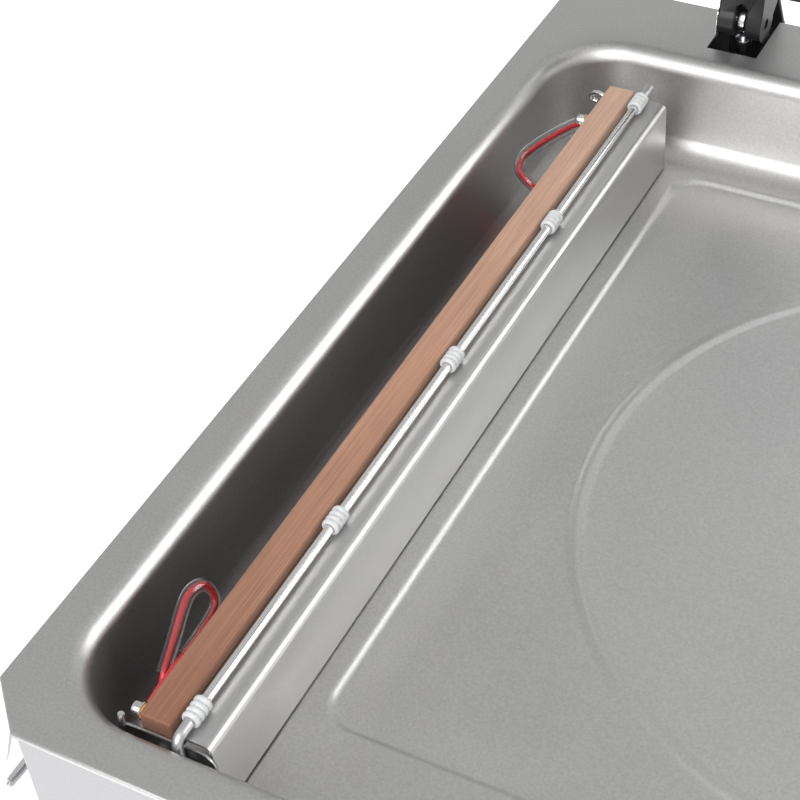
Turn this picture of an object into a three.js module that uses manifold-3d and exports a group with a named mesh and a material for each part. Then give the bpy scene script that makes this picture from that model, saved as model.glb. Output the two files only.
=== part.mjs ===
// Chamber vacuum packing machine, table-top, two seal bars.
// Millimetres, +Z up, +X to the operator's right, +Y to the rear (hinge side).
// Origin: centre of the bounding box's base, on the surface the feet stand on.
import * as THREE from 'three';
import * as BufferGeometryUtils from 'three/addons/utils/BufferGeometryUtils.js';
import Module from 'manifold-3d';

const wasm = await Module();
wasm.setup();

// ---------- driving dimensions ----------
const DECK_H = 300;            // deck top above the table
const Y_SHIFT = -1.65;         // places the bounding box centre on the origin
const DECK_X = 288;            // deck half width
const DECK_Y0 = -262, DECK_Y1 = 265;
const DECK_T = 2.0;            // deck sheet
const DECK_CH = 19;            // plan chamfer of the deck corners
const MOUTH_X = 267;           // chamber mouth half width
const MOUTH_Y0 = -240.3, MOUTH_Y1 = 211.7;
const MOUTH_R = 34;            // chamber corner radius in plan
const LIP_R = 9;               // deck to wall fillet
const CH_DEPTH = 46;           // chamber depth
const BASE_R = 13;             // wall to floor fillet
const BEAD_R = 156.5;          // round stiffening bead
const STEP_H = 2.0, TRAY_H = 1.3, BEAD_H = 0.9;   // floor step, tray middle below the ledge, bead above the tray
const SHEET = 1.2;

const BAR_DROP = 4;            // bar top below the deck plane
const BAR_L = 420, BAR_W = 13.4, BAR_H = 18;
const BAR_X = 228.1;           // bar centre from the middle
const BAR_Y0 = -233.1;
const COVER_X = 204.9;         // inner face of the bar cover
const COVER_DROP = 8;          // cover top below the deck plane
const ROD_X = 216, ROD_R = 2, ROD_Z = DECK_H - BAR_DROP + 0.1, ROD_BEND = 4;
const SLEEVE_R = 3.75, SLEEVE_L = 10.2, SLEEVE_Y0 = -223.5, SLEEVE_PITCH = 100.2;

const HINGE_X = 188, HINGE_W = 22.4, HINGE_Y = 247, HINGE_Z = DECK_H + 9;
const NOTCH_X0 = 175.1, NOTCH_X1 = 200.9, NOTCH_Y = 229.4;
const LID_OPEN = 75;           // degrees from closed
const LID_T = 15, LID_X = 281, LID_Y0 = -255, LID_Y1 = 224;
const GASKET_H = 6;

const BODY_IN = 1.2;           // body panels set in from the deck edge
const BODY_Z0 = 27;            // underside of the base pan
const FOOT_H = 27;

const B = DECK_H - BAR_DROP;
const FLOOR = DECK_H - CH_DEPTH;

// ---------- materials ----------
const mat = (color, roughness, metalness, opacity) => new THREE.MeshStandardMaterial({
  color, roughness, metalness, transparent: opacity !== undefined, opacity: opacity ?? 1 });
const M = {
  steel: mat(0xa9a9aa, 0.38, 1), panel: mat(0xc9c9cc, 0.35, 1), bright: mat(0xd2d2d2, 0.2, 1),
  ptfe: mat(0xb0805f, 0.62, 0), alu: mat(0xb9b9bb, 0.4, 1), silicone: mat(0xe9e9ea, 0.5, 0, 0.85),
  black: mat(0x26272a, 0.42, 0), dark: mat(0x4a4b4e, 0.45, 0.6), acrylic: mat(0xe8eef2, 0.05, 0, 0.3),
  rubber: mat(0x1c1c1d, 0.8, 0), red: mat(0xc9242c, 0.35, 0), paint: mat(0x5d6670, 0.5, 0.1),
  copper: mat(0x8a5a3a, 0.5, 0.5), grey: mat(0x3c3f45, 0.5, 0), green: mat(0x5e7f96, 0.5, 0) };

// ---------- geometry helpers ----------
function clean(g) {
  const c = g.index ? g.toNonIndexed() : g.clone();
  for (const k of Object.keys(c.attributes)) if (k !== 'position') c.deleteAttribute(k);
  return BufferGeometryUtils.mergeVertices(c, 1e-4);
}
function solid(g) {
  const m = clean(g);
  return new wasm.Manifold(new wasm.Mesh({ numProp: 3,
    vertProperties: new Float32Array(m.attributes.position.array),
    triVerts: new Uint32Array(m.index.array) }));
}
function back(man) {
  const m = man.getMesh();
  const p = new Float32Array(m.vertProperties.length / m.numProp * 3);
  for (let i = 0; i < p.length / 3; i++)
    for (let k = 0; k < 3; k++) p[i * 3 + k] = m.vertProperties[i * m.numProp + k];
  const g = new THREE.BufferGeometry();
  g.setAttribute('position', new THREE.BufferAttribute(p, 3));
  g.setIndex(new THREE.BufferAttribute(new Uint32Array(m.triVerts), 1));
  g.computeVertexNormals();
  return g;
}
const cut = (a, ...b) => back(b.reduce((s, x) => s.subtract(solid(x)), solid(a)));
const join = (a, ...b) => back(b.reduce((s, x) => s.add(solid(x)), solid(a)));
function box(x0, x1, y0, y1, z0, z1) {
  const g = new THREE.BoxGeometry(x1 - x0, y1 - y0, z1 - z0);
  g.translate((x0 + x1) / 2, (y0 + y1) / 2, (z0 + z1) / 2);
  return g;
}
// cylinder between two points
function rodBetween(a, b, r, n = 12) {
  const A = new THREE.Vector3(...a), Bv = new THREE.Vector3(...b), d = Bv.clone().sub(A);
  const g = new THREE.CylinderGeometry(r, r, d.length(), n);
  g.applyQuaternion(new THREE.Quaternion().setFromUnitVectors(new THREE.Vector3(0, 1, 0), d.clone().normalize()));
  const c = A.add(Bv).multiplyScalar(0.5);
  g.translate(c.x, c.y, c.z);
  return g;
}
// outline in the YZ plane, extruded along X
function slabX(pts, x0, x1) {
  const s = new THREE.Shape(pts.map(p => new THREE.Vector2(p[0], p[1])));
  const g = new THREE.ExtrudeGeometry(s, { depth: x1 - x0, bevelEnabled: false, curveSegments: 8 });
  // shape x -> Y, shape y -> Z, extrusion -> X
  const m = new THREE.Matrix4().set(0, 0, 1, x0, 1, 0, 0, 0, 0, 1, 0, 0, 0, 0, 0, 1);
  g.applyMatrix4(m);
  return g;
}
// outline in the XZ plane, extruded along Y
function slabY(pts, y0, y1) {
  const s = new THREE.Shape(pts.map(p => new THREE.Vector2(p[0], p[1])));
  const g = new THREE.ExtrudeGeometry(s, { depth: y1 - y0, bevelEnabled: false, curveSegments: 8 });
  const m = new THREE.Matrix4().set(1, 0, 0, 0, 0, 0, -1, y1, 0, 1, 0, 0, 0, 0, 0, 1);
  g.applyMatrix4(m);
  return g;
}
// outline in the XY plane, extruded along Z
function slabZ(pts, z0, z1) {
  const s = new THREE.Shape(pts.map(p => new THREE.Vector2(p[0], p[1])));
  const g = new THREE.ExtrudeGeometry(s, { depth: z1 - z0, bevelEnabled: false, curveSegments: 8 });
  g.translate(0, 0, z0);
  return g;
}
const arc = (cx, cy, r, a0, a1, n) => Array.from({ length: n + 1 }, (_, i) => {
  const a = (a0 + (a1 - a0) * i / n) * Math.PI / 180;
  return [cx + r * Math.cos(a), cy + r * Math.sin(a)]; });
function tube(points, r, sides, steps) {
  const c = new THREE.CatmullRomCurve3(points.map(p => new THREE.Vector3(...p)), false, 'centripetal');
  const s = new THREE.Shape(arc(0, 0, r, 0, 360 - 360 / sides, sides - 1).map(p => new THREE.Vector2(...p)));
  return new THREE.ExtrudeGeometry(s, { steps, bevelEnabled: false, extrudePath: c });
}
function lathe(profile, n) {
  return new THREE.LatheGeometry(profile.map(p => new THREE.Vector2(p[0], p[1])), n);
}
function mirrorX(g) {
  const c = g.index ? g.toNonIndexed() : g.clone();
  const p = c.attributes.position.array;
  for (let i = 0; i < p.length; i += 9) {
    for (let k = 0; k < 9; k += 3) p[i + k] = -p[i + k];
    for (let k = 0; k < 3; k++) { const t = p[i + 3 + k]; p[i + 3 + k] = p[i + 6 + k]; p[i + 6 + k] = t; }
  }
  for (const k of Object.keys(c.attributes)) if (k !== 'position') c.deleteAttribute(k);
  const m = BufferGeometryUtils.mergeVertices(c, 1e-4);
  m.computeVertexNormals();
  return m;
}

// closed loops with the same number of points: corner arcs (or chamfers) of K steps
const K = 6;
function roundedLoop(x0, x1, y0, y1, r, z, chamfer = false) {
  const out = [];
  const cs = [[x1 - r, y0 + r, -90], [x1 - r, y1 - r, 0], [x0 + r, y1 - r, 90], [x0 + r, y0 + r, 180]];
  for (const [cx, cy, a0] of cs)
    for (let i = 0; i <= K; i++) {
      if (chamfer) {
        const a = a0 * Math.PI / 180, b = (a0 + 90) * Math.PI / 180, t = i / K;
        out.push([cx + r * (Math.cos(a) * (1 - t) + Math.cos(b) * t), cy + r * (Math.sin(a) * (1 - t) + Math.sin(b) * t), z]);
      } else {
        const a = (a0 + 90 * i / K) * Math.PI / 180;
        out.push([cx + r * Math.cos(a), cy + r * Math.sin(a), z]);
      }
    }
  return out;
}
// closed solid from a run of loops, first and last capped at their centre,
// or joined to each other when ring is true
function loft(loops, ring = false) {
  const n = loops[0].length, pos = [], idx = [];
  loops.forEach(l => l.forEach(p => pos.push(...p)));
  const m = loops.length, rows = ring ? m : m - 1;
  for (let j = 0; j < rows; j++) for (let i = 0; i < n; i++) {
    const a = j * n + i, b = j * n + (i + 1) % n, c = ((j + 1) % m) * n + (i + 1) % n, d = ((j + 1) % m) * n + i;
    idx.push(a, b, c, a, c, d);
  }
  if (!ring) for (const [j, flip] of [[0, true], [m - 1, false]]) {
    const c = [0, 1, 2].map(k => loops[j].reduce((s, p) => s + p[k], 0) / n);
    const ci = pos.length / 3; pos.push(...c);
    for (let i = 0; i < n; i++) {
      const a = j * n + i, b = j * n + (i + 1) % n;
      flip ? idx.push(ci, b, a) : idx.push(ci, a, b);
    }
  }
  const g = new THREE.BufferGeometry();
  g.setAttribute('position', new THREE.Float32BufferAttribute(pos, 3));
  g.setIndex(idx);
  g.computeVertexNormals();
  return g;
}

const root = new THREE.Group();
const all = new THREE.Group();
all.position.y = Y_SHIFT;
root.add(all);
function add(name, geo, material, parent = all) {
  const m = new THREE.Mesh(geo, material);
  m.name = name;
  parent.add(m);
  return m;
}
function pair(name, geo, material, parent = all) {
  add(name + '_right', geo, material, parent);
  add(name + '_left', mirrorX(geo), material, parent);
}

// ---------- deck and drawn chamber, one sheet ----------
{
  const t = SHEET, D = DECK_H;
  const top = [], bot = [];
  const lip = n => Array.from({ length: n + 1 }, (_, i) => i * 90 / n);
  // upper skin, outside edge to floor
  top.push(roundedLoop(-DECK_X, DECK_X, DECK_Y0, DECK_Y1, DECK_CH, D, true));
  const m = (dx, dy0, dy1, r, z) => roundedLoop(-MOUTH_X + dx, MOUTH_X - dx, MOUTH_Y0 + dy0, MOUTH_Y1 - dy1, r, z);
  const skin = (off) => {
    const o = [];
    for (const a of lip(3)) {
      const s = Math.sin(a * Math.PI / 180), c = Math.cos(a * Math.PI / 180), q = LIP_R - off;
      const d = -LIP_R + q * s;     // distance past the wall plane, negative is outside
      o.push(m(d, d, d, MOUTH_R - d, D - LIP_R + q * c));
    }
    o.push(m(-off + 1.2, -off + 0.8, -off + 2, MOUTH_R - 1, D - 21));
    const rb = BASE_R + off;
    for (const a of [0, 45, 90]) {
      const s = Math.sin(a * Math.PI / 180), c = Math.cos(a * Math.PI / 180);
      const d = BASE_R - rb * c;
      o.push(m(5 + d, 2.5 + d, 6 + d, MOUTH_R - 5 - d, FLOOR + BASE_R - rb * s));
    }
    const F = FLOOR - off;
    o.push(roundedLoop(-197.4, 197.4, -184.4, 186.4, 16, F));
    o.push(roundedLoop(-193, 193, -180, 182, 14, F - STEP_H));
    o.push(roundedLoop(-165.6, 165.6, -161.5, 164.5, 40, F - TRAY_H));
    for (const [r, dz] of [[BEAD_R + 4.5, -TRAY_H], [BEAD_R, -TRAY_H + BEAD_H], [BEAD_R - 4.5, -TRAY_H]])
      o.push(roundedLoop(-r, r, 2 - r, 2 + r, r - 0.01, F + dz));
    return o;
  };
  top.push(...skin(0));
  bot.push(...skin(t));
  bot.unshift(roundedLoop(-DECK_X, DECK_X, DECK_Y0, DECK_Y1, DECK_CH, D - DECK_T, true));
  let deck = loft([...bot.reverse(), ...top]);
  const notch = box(NOTCH_X0, NOTCH_X1, NOTCH_Y, DECK_Y1 + 5, D - 6, D + 3);
  deck = cut(deck, notch, mirrorX(notch));
  add('deck_chamber', deck, M.steel);
}

// ---------- body ----------
{
  const bx = DECK_X - BODY_IN, y0 = DECK_Y0 + BODY_IN, y1 = DECK_Y1 - BODY_IN, c = DECK_CH;
  const zt = DECK_H - DECK_T - 0.3, z0 = BODY_Z0, t = SHEET;
  // front panel: face, chamfered corner wings, rolled top edge
  const plan = [[-bx, y0 + c], [-bx + c, y0], [bx - c, y0], [bx, y0 + c], [bx - t, y0 + c], [bx - c - 0.5, y0 + t], [-bx + c + 0.5, y0 + t], [-bx + t, y0 + c]];
  let fp = slabZ(plan, z0, zt);
  const win = [box(-120, 120, y0 - 1, y0 + 4, 150, 238)];
  fp = cut(fp, ...win, rodBetween([190, y0 - 1, 194], [190, y0 + 4, 194], 26, 24), box(-228.4, -199.6, y0 - 1, y0 + 4, 184.6, 205.4),
    rodBetween([-170, y0 - 1, 195], [-170, y0 + 4, 195], 11.4, 20));
  add('front_panel', fp, M.panel);
  const side = cut(box(bx - t, bx, y0 + c + 0.4, y1 - c - 0.4, z0, zt),
    ...[0, 1, 2, 3, 4, 5].map(i => box(bx - 4, bx + 2, 110 + i * 14, 116 + i * 14, 70, 130)));
  pair('side_panel', side, M.panel);
  const rplan = [[-bx, y1 - c], [-bx + t, y1 - c], [-bx + c + 0.5, y1 - t], [bx - c - 0.5, y1 - t], [bx - t, y1 - c], [bx, y1 - c], [bx - c, y1], [-bx + c, y1]];
  let rc = slabZ(rplan.slice().reverse(), z0, zt);
  rc = cut(rc, ...[0, 1, 2, 3, 4].flatMap(i => [-1, 1].map(s => box(s * 130 - 45, s * 130 + 45, y1 - 5, y1 + 2, 90 + i * 13, 95 + i * 13))),
    box(-224.3, -195.7, y1 - 5, y1 + 2, 47.7, 76.3),
    box(NOTCH_X0, NOTCH_X1, y1 - 5, y1 + 2, DECK_H - 26, DECK_H + 2), box(-NOTCH_X1, -NOTCH_X0, y1 - 5, y1 + 2, DECK_H - 26, DECK_H + 2));
  add('rear_cover', rc, M.panel);
  // base pan, just inside the panels
  const bi = bx - t - 0.5, bplan = [[-bi, y0 + c], [-bi + c, y0 + t + 0.6], [bi - c, y0 + t + 0.6], [bi, y0 + c], [bi, y1 - c], [bi - c, y1 - t - 0.6], [-bi + c, y1 - t - 0.6], [-bi, y1 - c]];
  add('base_pan', slabZ(bplan, z0, z0 + 3), M.steel);
  for (const [n, x, y] of [['front_left', -250, -222], ['front_right', 250, -222], ['rear_left', -250, 222], ['rear_right', 250, 222]]) {
    const f = lathe([[0, 0], [15, 0], [17, 3], [20, FOOT_H - 0.3], [0, FOOT_H - 0.3]], 16);
    f.rotateX(Math.PI / 2); f.translate(x, y, 0);
    add('foot_' + n, f, M.rubber);
  }
  // operating parts on the front
  add('control_overlay', box(-119.6, 119.6, y0 - 0.9, y0 + 3, 150.4, 237.6), M.grey);
  const g = lathe([[0, -20], [25.6, -20], [25.6, -0.2], [28.5, -0.2], [28.5, 3.2], [24.5, 6], [0, 6]], 28);
  g.rotateX(Math.PI); g.translate(0, 0, 0);
  g.applyMatrix4(new THREE.Matrix4().makeTranslation(190, y0 - 0.5, 194));
  add('vacuum_gauge', g, M.black);
  const rk = slabX([[y0 - 0.9, 186], [y0 + 5.5, 186], [y0 + 5.5, 204], [y0 - 3.4, 204], [y0 - 1.5, 195]].map(p => p), -228, -200);
  add('power_switch_rocker', rk, M.black);
  const sb = lathe([[0, -8], [9, -8], [9, 6], [7.6, 7.6], [0, 7.6]], 20);
  sb.rotateX(Math.PI); sb.applyMatrix4(new THREE.Matrix4().makeTranslation(-170, y0, 195));
  add('stop_button', sb, M.red);
  add('power_inlet', join(box(-224, -196, y1 - 22, y1 + 1.2, 48, 76), box(-216, -204, y1 - 30, y1 - 20, 55, 69)), M.black);
  // carrying handles: bent rod, legs splayed outward from just under the deck
  const hr = 2.4, xs = bx + 0.4;
  const leg = [[xs, 290], [xs + 1.3, 289.8], [xs + 2.8, 288], [xs + 3.9, 284.6], [301.2, 250.9], [315.2, 210.6], [317.6, 203.6], [319, 199.6]];
  const hy0 = -238, hy1 = -112, run = [];
  leg.forEach(([x, z], i) => run.push([x, i < 6 ? hy0 : [hy0 + 1.6, hy0 + 6][i - 6], z]));
  run.push([319.6, hy0 + 13, 198], [319.6, -175, 198], [319.6, hy1 - 13, 198]);
  leg.slice().reverse().forEach(([x, z], i) => run.push([x, i > 1 ? hy1 : [hy1 - 6, hy1 - 1.6][i], z]));
  const ringsH = [];
  let nrm = new THREE.Vector3(0, 0, 1);
  run.forEach((p, i) => {
    const q0 = run[Math.max(0, i - 1)], q1 = run[Math.min(run.length - 1, i + 1)];
    const d = new THREE.Vector3(q1[0] - q0[0], q1[1] - q0[1], q1[2] - q0[2]).normalize();
    if (i === 0) d.set(1, 0, 0);
    if (i === run.length - 1) d.set(-1, 0, 0);
    nrm = nrm.clone().addScaledVector(d, -nrm.dot(d)).normalize();
    const b = new THREE.Vector3().crossVectors(d, nrm);
    ringsH.push(Array.from({ length: 10 }, (_, k) => {
      const a = k / 10 * 2 * Math.PI;
      return [0, 1, 2].map(c => p[c] + hr * (Math.cos(a) * nrm.getComponent(c) + Math.sin(a) * b.getComponent(c)));
    }));
  });
  pair('carry_handle', loft(ringsH), M.bright);
}

// ---------- inside the body ----------
{
  // vacuum pump with its motor, on the base pan
  const z = BODY_Z0 + 3.3;
  add('vacuum_pump', join(rodBetween([-190, 60, z + 58], [-15, 60, z + 58], 52, 20), box(-170, -50, 20, 100, z, z + 20),
    box(-19.7, 96, 8, 116, z, z + 120), rodBetween([20, 60, z + 110], [20, 60, z + 160], 11, 12), box(60, 92, 20, 60, z + 110, z + 150)), M.paint);
}

// ---------- one side: bar, cover, clamp rod (right side; the left is its mirror) ----------
{
  const y0 = BAR_Y0, y1 = BAR_Y0 + BAR_L, w = BAR_W / 2, X = BAR_X;
  const bot = B - BAR_H;
  pair('seal_bar_core', box(X - w + 0.8, X + w - 0.8, y0 + 0.8, y1 - 0.8, bot, B - 0.8), M.alu);
  // PTFE cloth wrapped over the top, both sides and both ends
  pair('ptfe_cover', cut(box(X - w, X + w, y0, y1, bot + 1, B), box(X - w + 0.5, X + w - 0.5, y0 + 0.5, y1 - 0.5, bot - 1, B - 0.5)), M.ptfe);
  pair('lift_bladder', box(X - 8, X + 8, -190, 145, FLOOR + 0.3, bot - 0.3), M.rubber);
  // sheet cover beside the bar, open at the back, cut away at the front wall
  const cz = DECK_H - COVER_DROP, cx = COVER_X, t = SHEET;
  const section = [[cx, FLOOR + 1], [cx + 10, FLOOR + 1], [cx + 10, FLOOR + 1 + t], [cx + t, FLOOR + 1 + t],
    [cx + t, cz - t], [220.6, cz - t], [220.6, cz], [cx + 1.2, cz], [cx, cz - 1.2]];
  let cover = slabY(section, y0, y1);
  cover = cut(cover, slabX([[y0 - 1, FLOOR - 1], [y0 + 10, FLOOR - 1], [y0 + 10, FLOOR + 2], [y0 + 6, FLOOR + 3], [y0 + 3, FLOOR + 5.5], [y0 + 1, FLOOR + 9], [y0 - 1, FLOOR + 11]], cx - 2, cx + 14));
  pair('bar_cover', cover, M.steel);
  // end plate carrying the clamp rod, rounded top corners
  const px0 = 203.5, px1 = 244.5, pz = B - 8;
  const plate = slabY([[px0 + 1, pz - 18], [px1 - 1, pz - 18], ...arc(px1 - 5, pz - 5, 5, 0, 90, 4), ...arc(px0 + 5, pz - 5, 5, 90, 180, 4)], y0 - 1.6, y0 - 0.4);
  pair('rod_end_plate', plate, M.steel);
  // bag clamp rod: straight run, front end turned down in front of the end plate
  const rodPts = [];
  rodPts.push(...[192, 80, -30, -140, -233.5].map(y => [ROD_X, y, ROD_Z]));
  for (const a of [20, 40, 60, 80, 90]) rodPts.push([ROD_X, -233.5 - ROD_BEND * Math.sin(a * Math.PI / 180), ROD_Z - ROD_BEND * (1 - Math.cos(a * Math.PI / 180))]);
  rodPts.push([ROD_X, -233.5 - ROD_BEND, ROD_Z - 15]);
  // swept by hand so that every ring stays square to the run
  const rings = rodPts.map((p, i) => {
    const q0 = rodPts[Math.max(0, i - 1)], q1 = rodPts[Math.min(rodPts.length - 1, i + 1)];
    const d = new THREE.Vector3(0, q1[1] - q0[1], q1[2] - q0[2]).normalize();
    const n = new THREE.Vector3(1, 0, 0), b = new THREE.Vector3().crossVectors(d, n);
    return Array.from({ length: 10 }, (_, k) => {
      const a = k / 10 * 2 * Math.PI;
      return [p[0] + ROD_R * (Math.cos(a) * n.x + Math.sin(a) * b.x), p[1] + ROD_R * (Math.cos(a) * n.y + Math.sin(a) * b.y), p[2] + ROD_R * (Math.cos(a) * n.z + Math.sin(a) * b.z)];
    });
  });
  pair('clamp_rod', loft(rings), M.bright);
  for (let i = 0; i < 5; i++) {
    const prof = [[ROD_R + 0.3, -SLEEVE_L / 2]];
    for (let k = 0; k < 4; k++) {
      const a = -SLEEVE_L / 2 + k * SLEEVE_L / 4, p = SLEEVE_L / 4;
      prof.push([SLEEVE_R - 0.5, a], [SLEEVE_R, a + p * 0.3], [SLEEVE_R, a + p * 0.7]);
    }
    prof.push([SLEEVE_R - 0.5, SLEEVE_L / 2], [ROD_R + 0.3, SLEEVE_L / 2], prof[0]);
    const s = lathe(prof, 12);
    s.translate(0, SLEEVE_Y0 + i * SLEEVE_PITCH, 0); s.translate(ROD_X, 0, ROD_Z);
    pair('rod_sleeve_' + (i + 1), s, M.silicone);
  }
  // heater leads, sleeved loops between the bar and the chamber wall
  const near = [[237.2, -224.5, B - 6.5], [239.6, -210, B - 9.5], [240.6, -190, B - 11.5], [241.6, -177, B - 11.5], [243.5, -170.7, B - 11.2], [245.5, -169.2, B - 6.7],
    [247, -171.6, B - 1.6], [248, -176.8, B + 0.3], [248, -182.8, B - 1.3], [245.5, -196.9, B - 8.3], [243, -208.2, B - 12.9], [241.6, -214.5, B - 22], [241.2, -216, B - 41.6]];
  const far = [[237.6, 160, B - 6], [242, 156, B - 6.5], [250, 145, B - 9], [256, 133, B - 12], [254.5, 123.5, B - 13.5], [248, 118.6, B - 15], [242.6, 118.6, B - 20], [240.8, 119, B - 30], [240.6, 119, B - 41.6]];
  pair('heater_lead_front', tube(near, 1.6, 8, 34), M.red);
  pair('heater_lead_rear', tube(far, 1.9, 8, 26), M.red);
}

// ---------- lid, modelled closed and turned up to its open stop ----------
const lid = new THREE.Group();
{
  const turn = new THREE.Matrix4().makeTranslation(0, HINGE_Y, HINGE_Z)
    .multiply(new THREE.Matrix4().makeRotationX(-LID_OPEN * Math.PI / 180))
    .multiply(new THREE.Matrix4().makeTranslation(0, -HINGE_Y, -HINGE_Z));
  const up = g => { const c = g.clone(); c.applyMatrix4(turn); return c; };
  const zu = DECK_H + GASKET_H;
  const plan = (x, y0, y1, r) => [...arc(x - r, y0 + r, r, -90, 0, 4), ...arc(x - r, y1 - r, r, 0, 90, 4), ...arc(-x + r, y1 - r, r, 90, 180, 4), ...arc(-x + r, y0 + r, r, 180, 270, 4)];
  add('lid_panel', up(slabZ(plan(LID_X, LID_Y0, LID_Y1, 14), zu, zu + LID_T)), M.acrylic);
  // gasket ring under the lid, just outside the chamber mouth
  const gx = MOUTH_X + 9, gy0 = MOUTH_Y0 - 8, gy1 = MOUTH_Y1 + 8.5;
  const go = (d, z) => roundedLoop(-gx + d, gx - d, gy0 + d, gy1 - d, MOUTH_R + 6 - d, z);
  add('lid_gasket', up(loft([go(0, DECK_H + 0.4), go(0, zu - 0.3), go(7, zu - 0.3), go(7, DECK_H + 0.4)], true)), M.rubber);
  const cb = box(BAR_X - 9, BAR_X + 9, -226, 180, zu - 4.3, zu - 0.3);
  add('counter_bar_right', up(cb), M.silicone);
  add('counter_bar_left', up(mirrorX(cb)), M.silicone);
  // hinge arms: two lobes round the pin, slot between, pad on the lid
  const y = HINGE_Y, z = HINGE_Z, top = zu + LID_T;
  const outline = [...arc(y, z, 9, -150, 75, 10), [y - 4, top + 11], [150, top + 8], [146, top + 0.3], [LID_Y1 + 1.5, top + 0.3], [LID_Y1 + 1.5, z + 2]];
  const arm = slabX(outline, HINGE_X - HINGE_W / 2, HINGE_X + HINGE_W / 2);
  const slot = join(box(HINGE_X - 3, HINGE_X + 3, y - 9.4, y + 30, z - 20, z + 24), rodBetween([HINGE_X, y - 9.4, z - 20], [HINGE_X, y - 9.4, z + 24], 3, 16));
  const bore = rodBetween([HINGE_X - 20, y, z], [HINGE_X + 20, y, z], 3.3, 16);
  const hinge = cut(arm, slot, bore);
  add('hinge_arm_right', up(hinge), M.black);
  add('hinge_arm_left', up(mirrorX(hinge)), M.black);
  // grab handle along the front edge
  const hb = cut(slabX([[LID_Y0 + 26, top + 0.3], [LID_Y0 + 26, top + 6], [LID_Y0 + 22, top + 24], [LID_Y0 + 8, top + 24], [LID_Y0 + 4, top + 6], [LID_Y0 + 4, top + 0.3]].reverse(), -80, 80), box(-66, 66, LID_Y0, LID_Y0 + 40, top - 1, top + 13));
  add('lid_handle', up(hb), M.black);
}

// ---------- hinge posts, pins, springs, stops ----------
{
  const y = HINGE_Y, z = HINGE_Z, X = HINGE_X;
  pair('hinge_pin', rodBetween([X - 10.4, y, z], [X + 14, y, z], 3, 16), M.bright);
  const eye = join(rodBetween([X - 2.2, y, z], [X + 2.2, y, z], 6.4, 16), rodBetween([X, y, z - 3], [X, y, DECK_H - 40], 2.2, 12), rodBetween([X, y, DECK_H - 10], [X, y, DECK_H - 1.5], 4.3, 12));
  pair('hinge_eye_bolt', cut(eye, rodBetween([X - 6, y, z], [X + 6, y, z], 3.3, 16)), M.bright);
  const ring = lathe([[3.5, 0], [5.1, 0], [5.1, 1.5], [3.5, 1.5], [3.5, 0]], 16);
  ring.rotateZ(-Math.PI / 2); ring.translate(X + 11.7, y, z);
  pair('lid_spring', ring, M.bright);
  // stop bracket behind the arm, screwed to the rear of the body
  const sy = DECK_Y1 - BODY_IN + 0.3, H = DECK_H;
  let br = slabX([[sy, H - 60], [sy + 2.4, H - 60], [sy + 2.4, H - 14], [sy + 7.6, H - 8], [sy + 7.6, H + 24], [sy + 5.2, H + 24], [sy + 5.2, H - 7], [sy, H - 12.6]], X - 13, X + 13);
  // sides taper in towards the top
  const tri = s => slabY(s > 0 ? [[X + 14, H - 8], [X + 14, H + 26], [X + 6, H + 26]] : [[X - 14, H - 8], [X - 6, H + 26], [X - 14, H + 26]], sy + 3, sy + 10);
  br = cut(br, tri(1), tri(-1));
  pair('hinge_stop', br, M.dark);
  // rail under the deck that the eye bolts are screwed into
  add('hinge_rail', cut(box(-215, 215, y - 9, y + 9, DECK_H - 30, DECK_H - 26), rodBetween([X, y, 200], [X, y, 300], 2.5, 12), rodBetween([-X, y, 200], [-X, y, 300], 2.5, 12)), M.steel);
}

export default root;
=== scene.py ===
# Chamber vacuum packing machine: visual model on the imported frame. Lengths below are millimetres unless named otherwise.
import bpy, math
from mathutils import Vector, Matrix


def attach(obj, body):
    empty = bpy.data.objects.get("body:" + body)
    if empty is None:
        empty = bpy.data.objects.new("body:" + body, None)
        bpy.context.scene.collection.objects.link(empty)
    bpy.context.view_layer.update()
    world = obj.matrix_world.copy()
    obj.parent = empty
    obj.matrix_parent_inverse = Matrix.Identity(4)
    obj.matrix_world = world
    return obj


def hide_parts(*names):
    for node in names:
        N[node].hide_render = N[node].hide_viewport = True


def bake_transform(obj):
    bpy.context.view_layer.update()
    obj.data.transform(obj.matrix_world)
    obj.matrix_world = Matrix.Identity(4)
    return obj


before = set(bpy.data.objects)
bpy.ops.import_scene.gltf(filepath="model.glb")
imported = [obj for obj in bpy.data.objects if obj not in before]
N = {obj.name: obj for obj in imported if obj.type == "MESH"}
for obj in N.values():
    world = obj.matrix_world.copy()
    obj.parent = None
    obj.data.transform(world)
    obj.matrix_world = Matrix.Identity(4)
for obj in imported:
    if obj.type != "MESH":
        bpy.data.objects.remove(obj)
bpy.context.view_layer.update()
SH = -1.65
scene = bpy.context.scene


def P(x, y, z):
    return Vector((x / 1000, (y + SH) / 1000, z / 1000))


# ------------------------------------------------------------------ camera
cam_data = bpy.data.cameras.new("camera")
cam_data.sensor_width = 36
cam_data.lens = 83.84
cam_data.clip_start = 0.02
cam_data.clip_end = 60
cam = bpy.data.objects.new("camera", cam_data)
scene.collection.objects.link(cam)
R = ((0.88155007, 0.466849, -0.07015336), (0.2780477, -0.63353576, -0.72202626), (-0.3815219, 0.61699631, -0.68829978))
m3 = Matrix((R[0], [-v for v in R[1]], [-v for v in R[2]])).transposed()
cam.matrix_world = Matrix.Translation((0.06747, -0.52791, 0.82311)) @ m3.to_4x4()
scene.camera = cam

# ------------------------------------------------------------------ materials
MATS = {}


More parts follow.
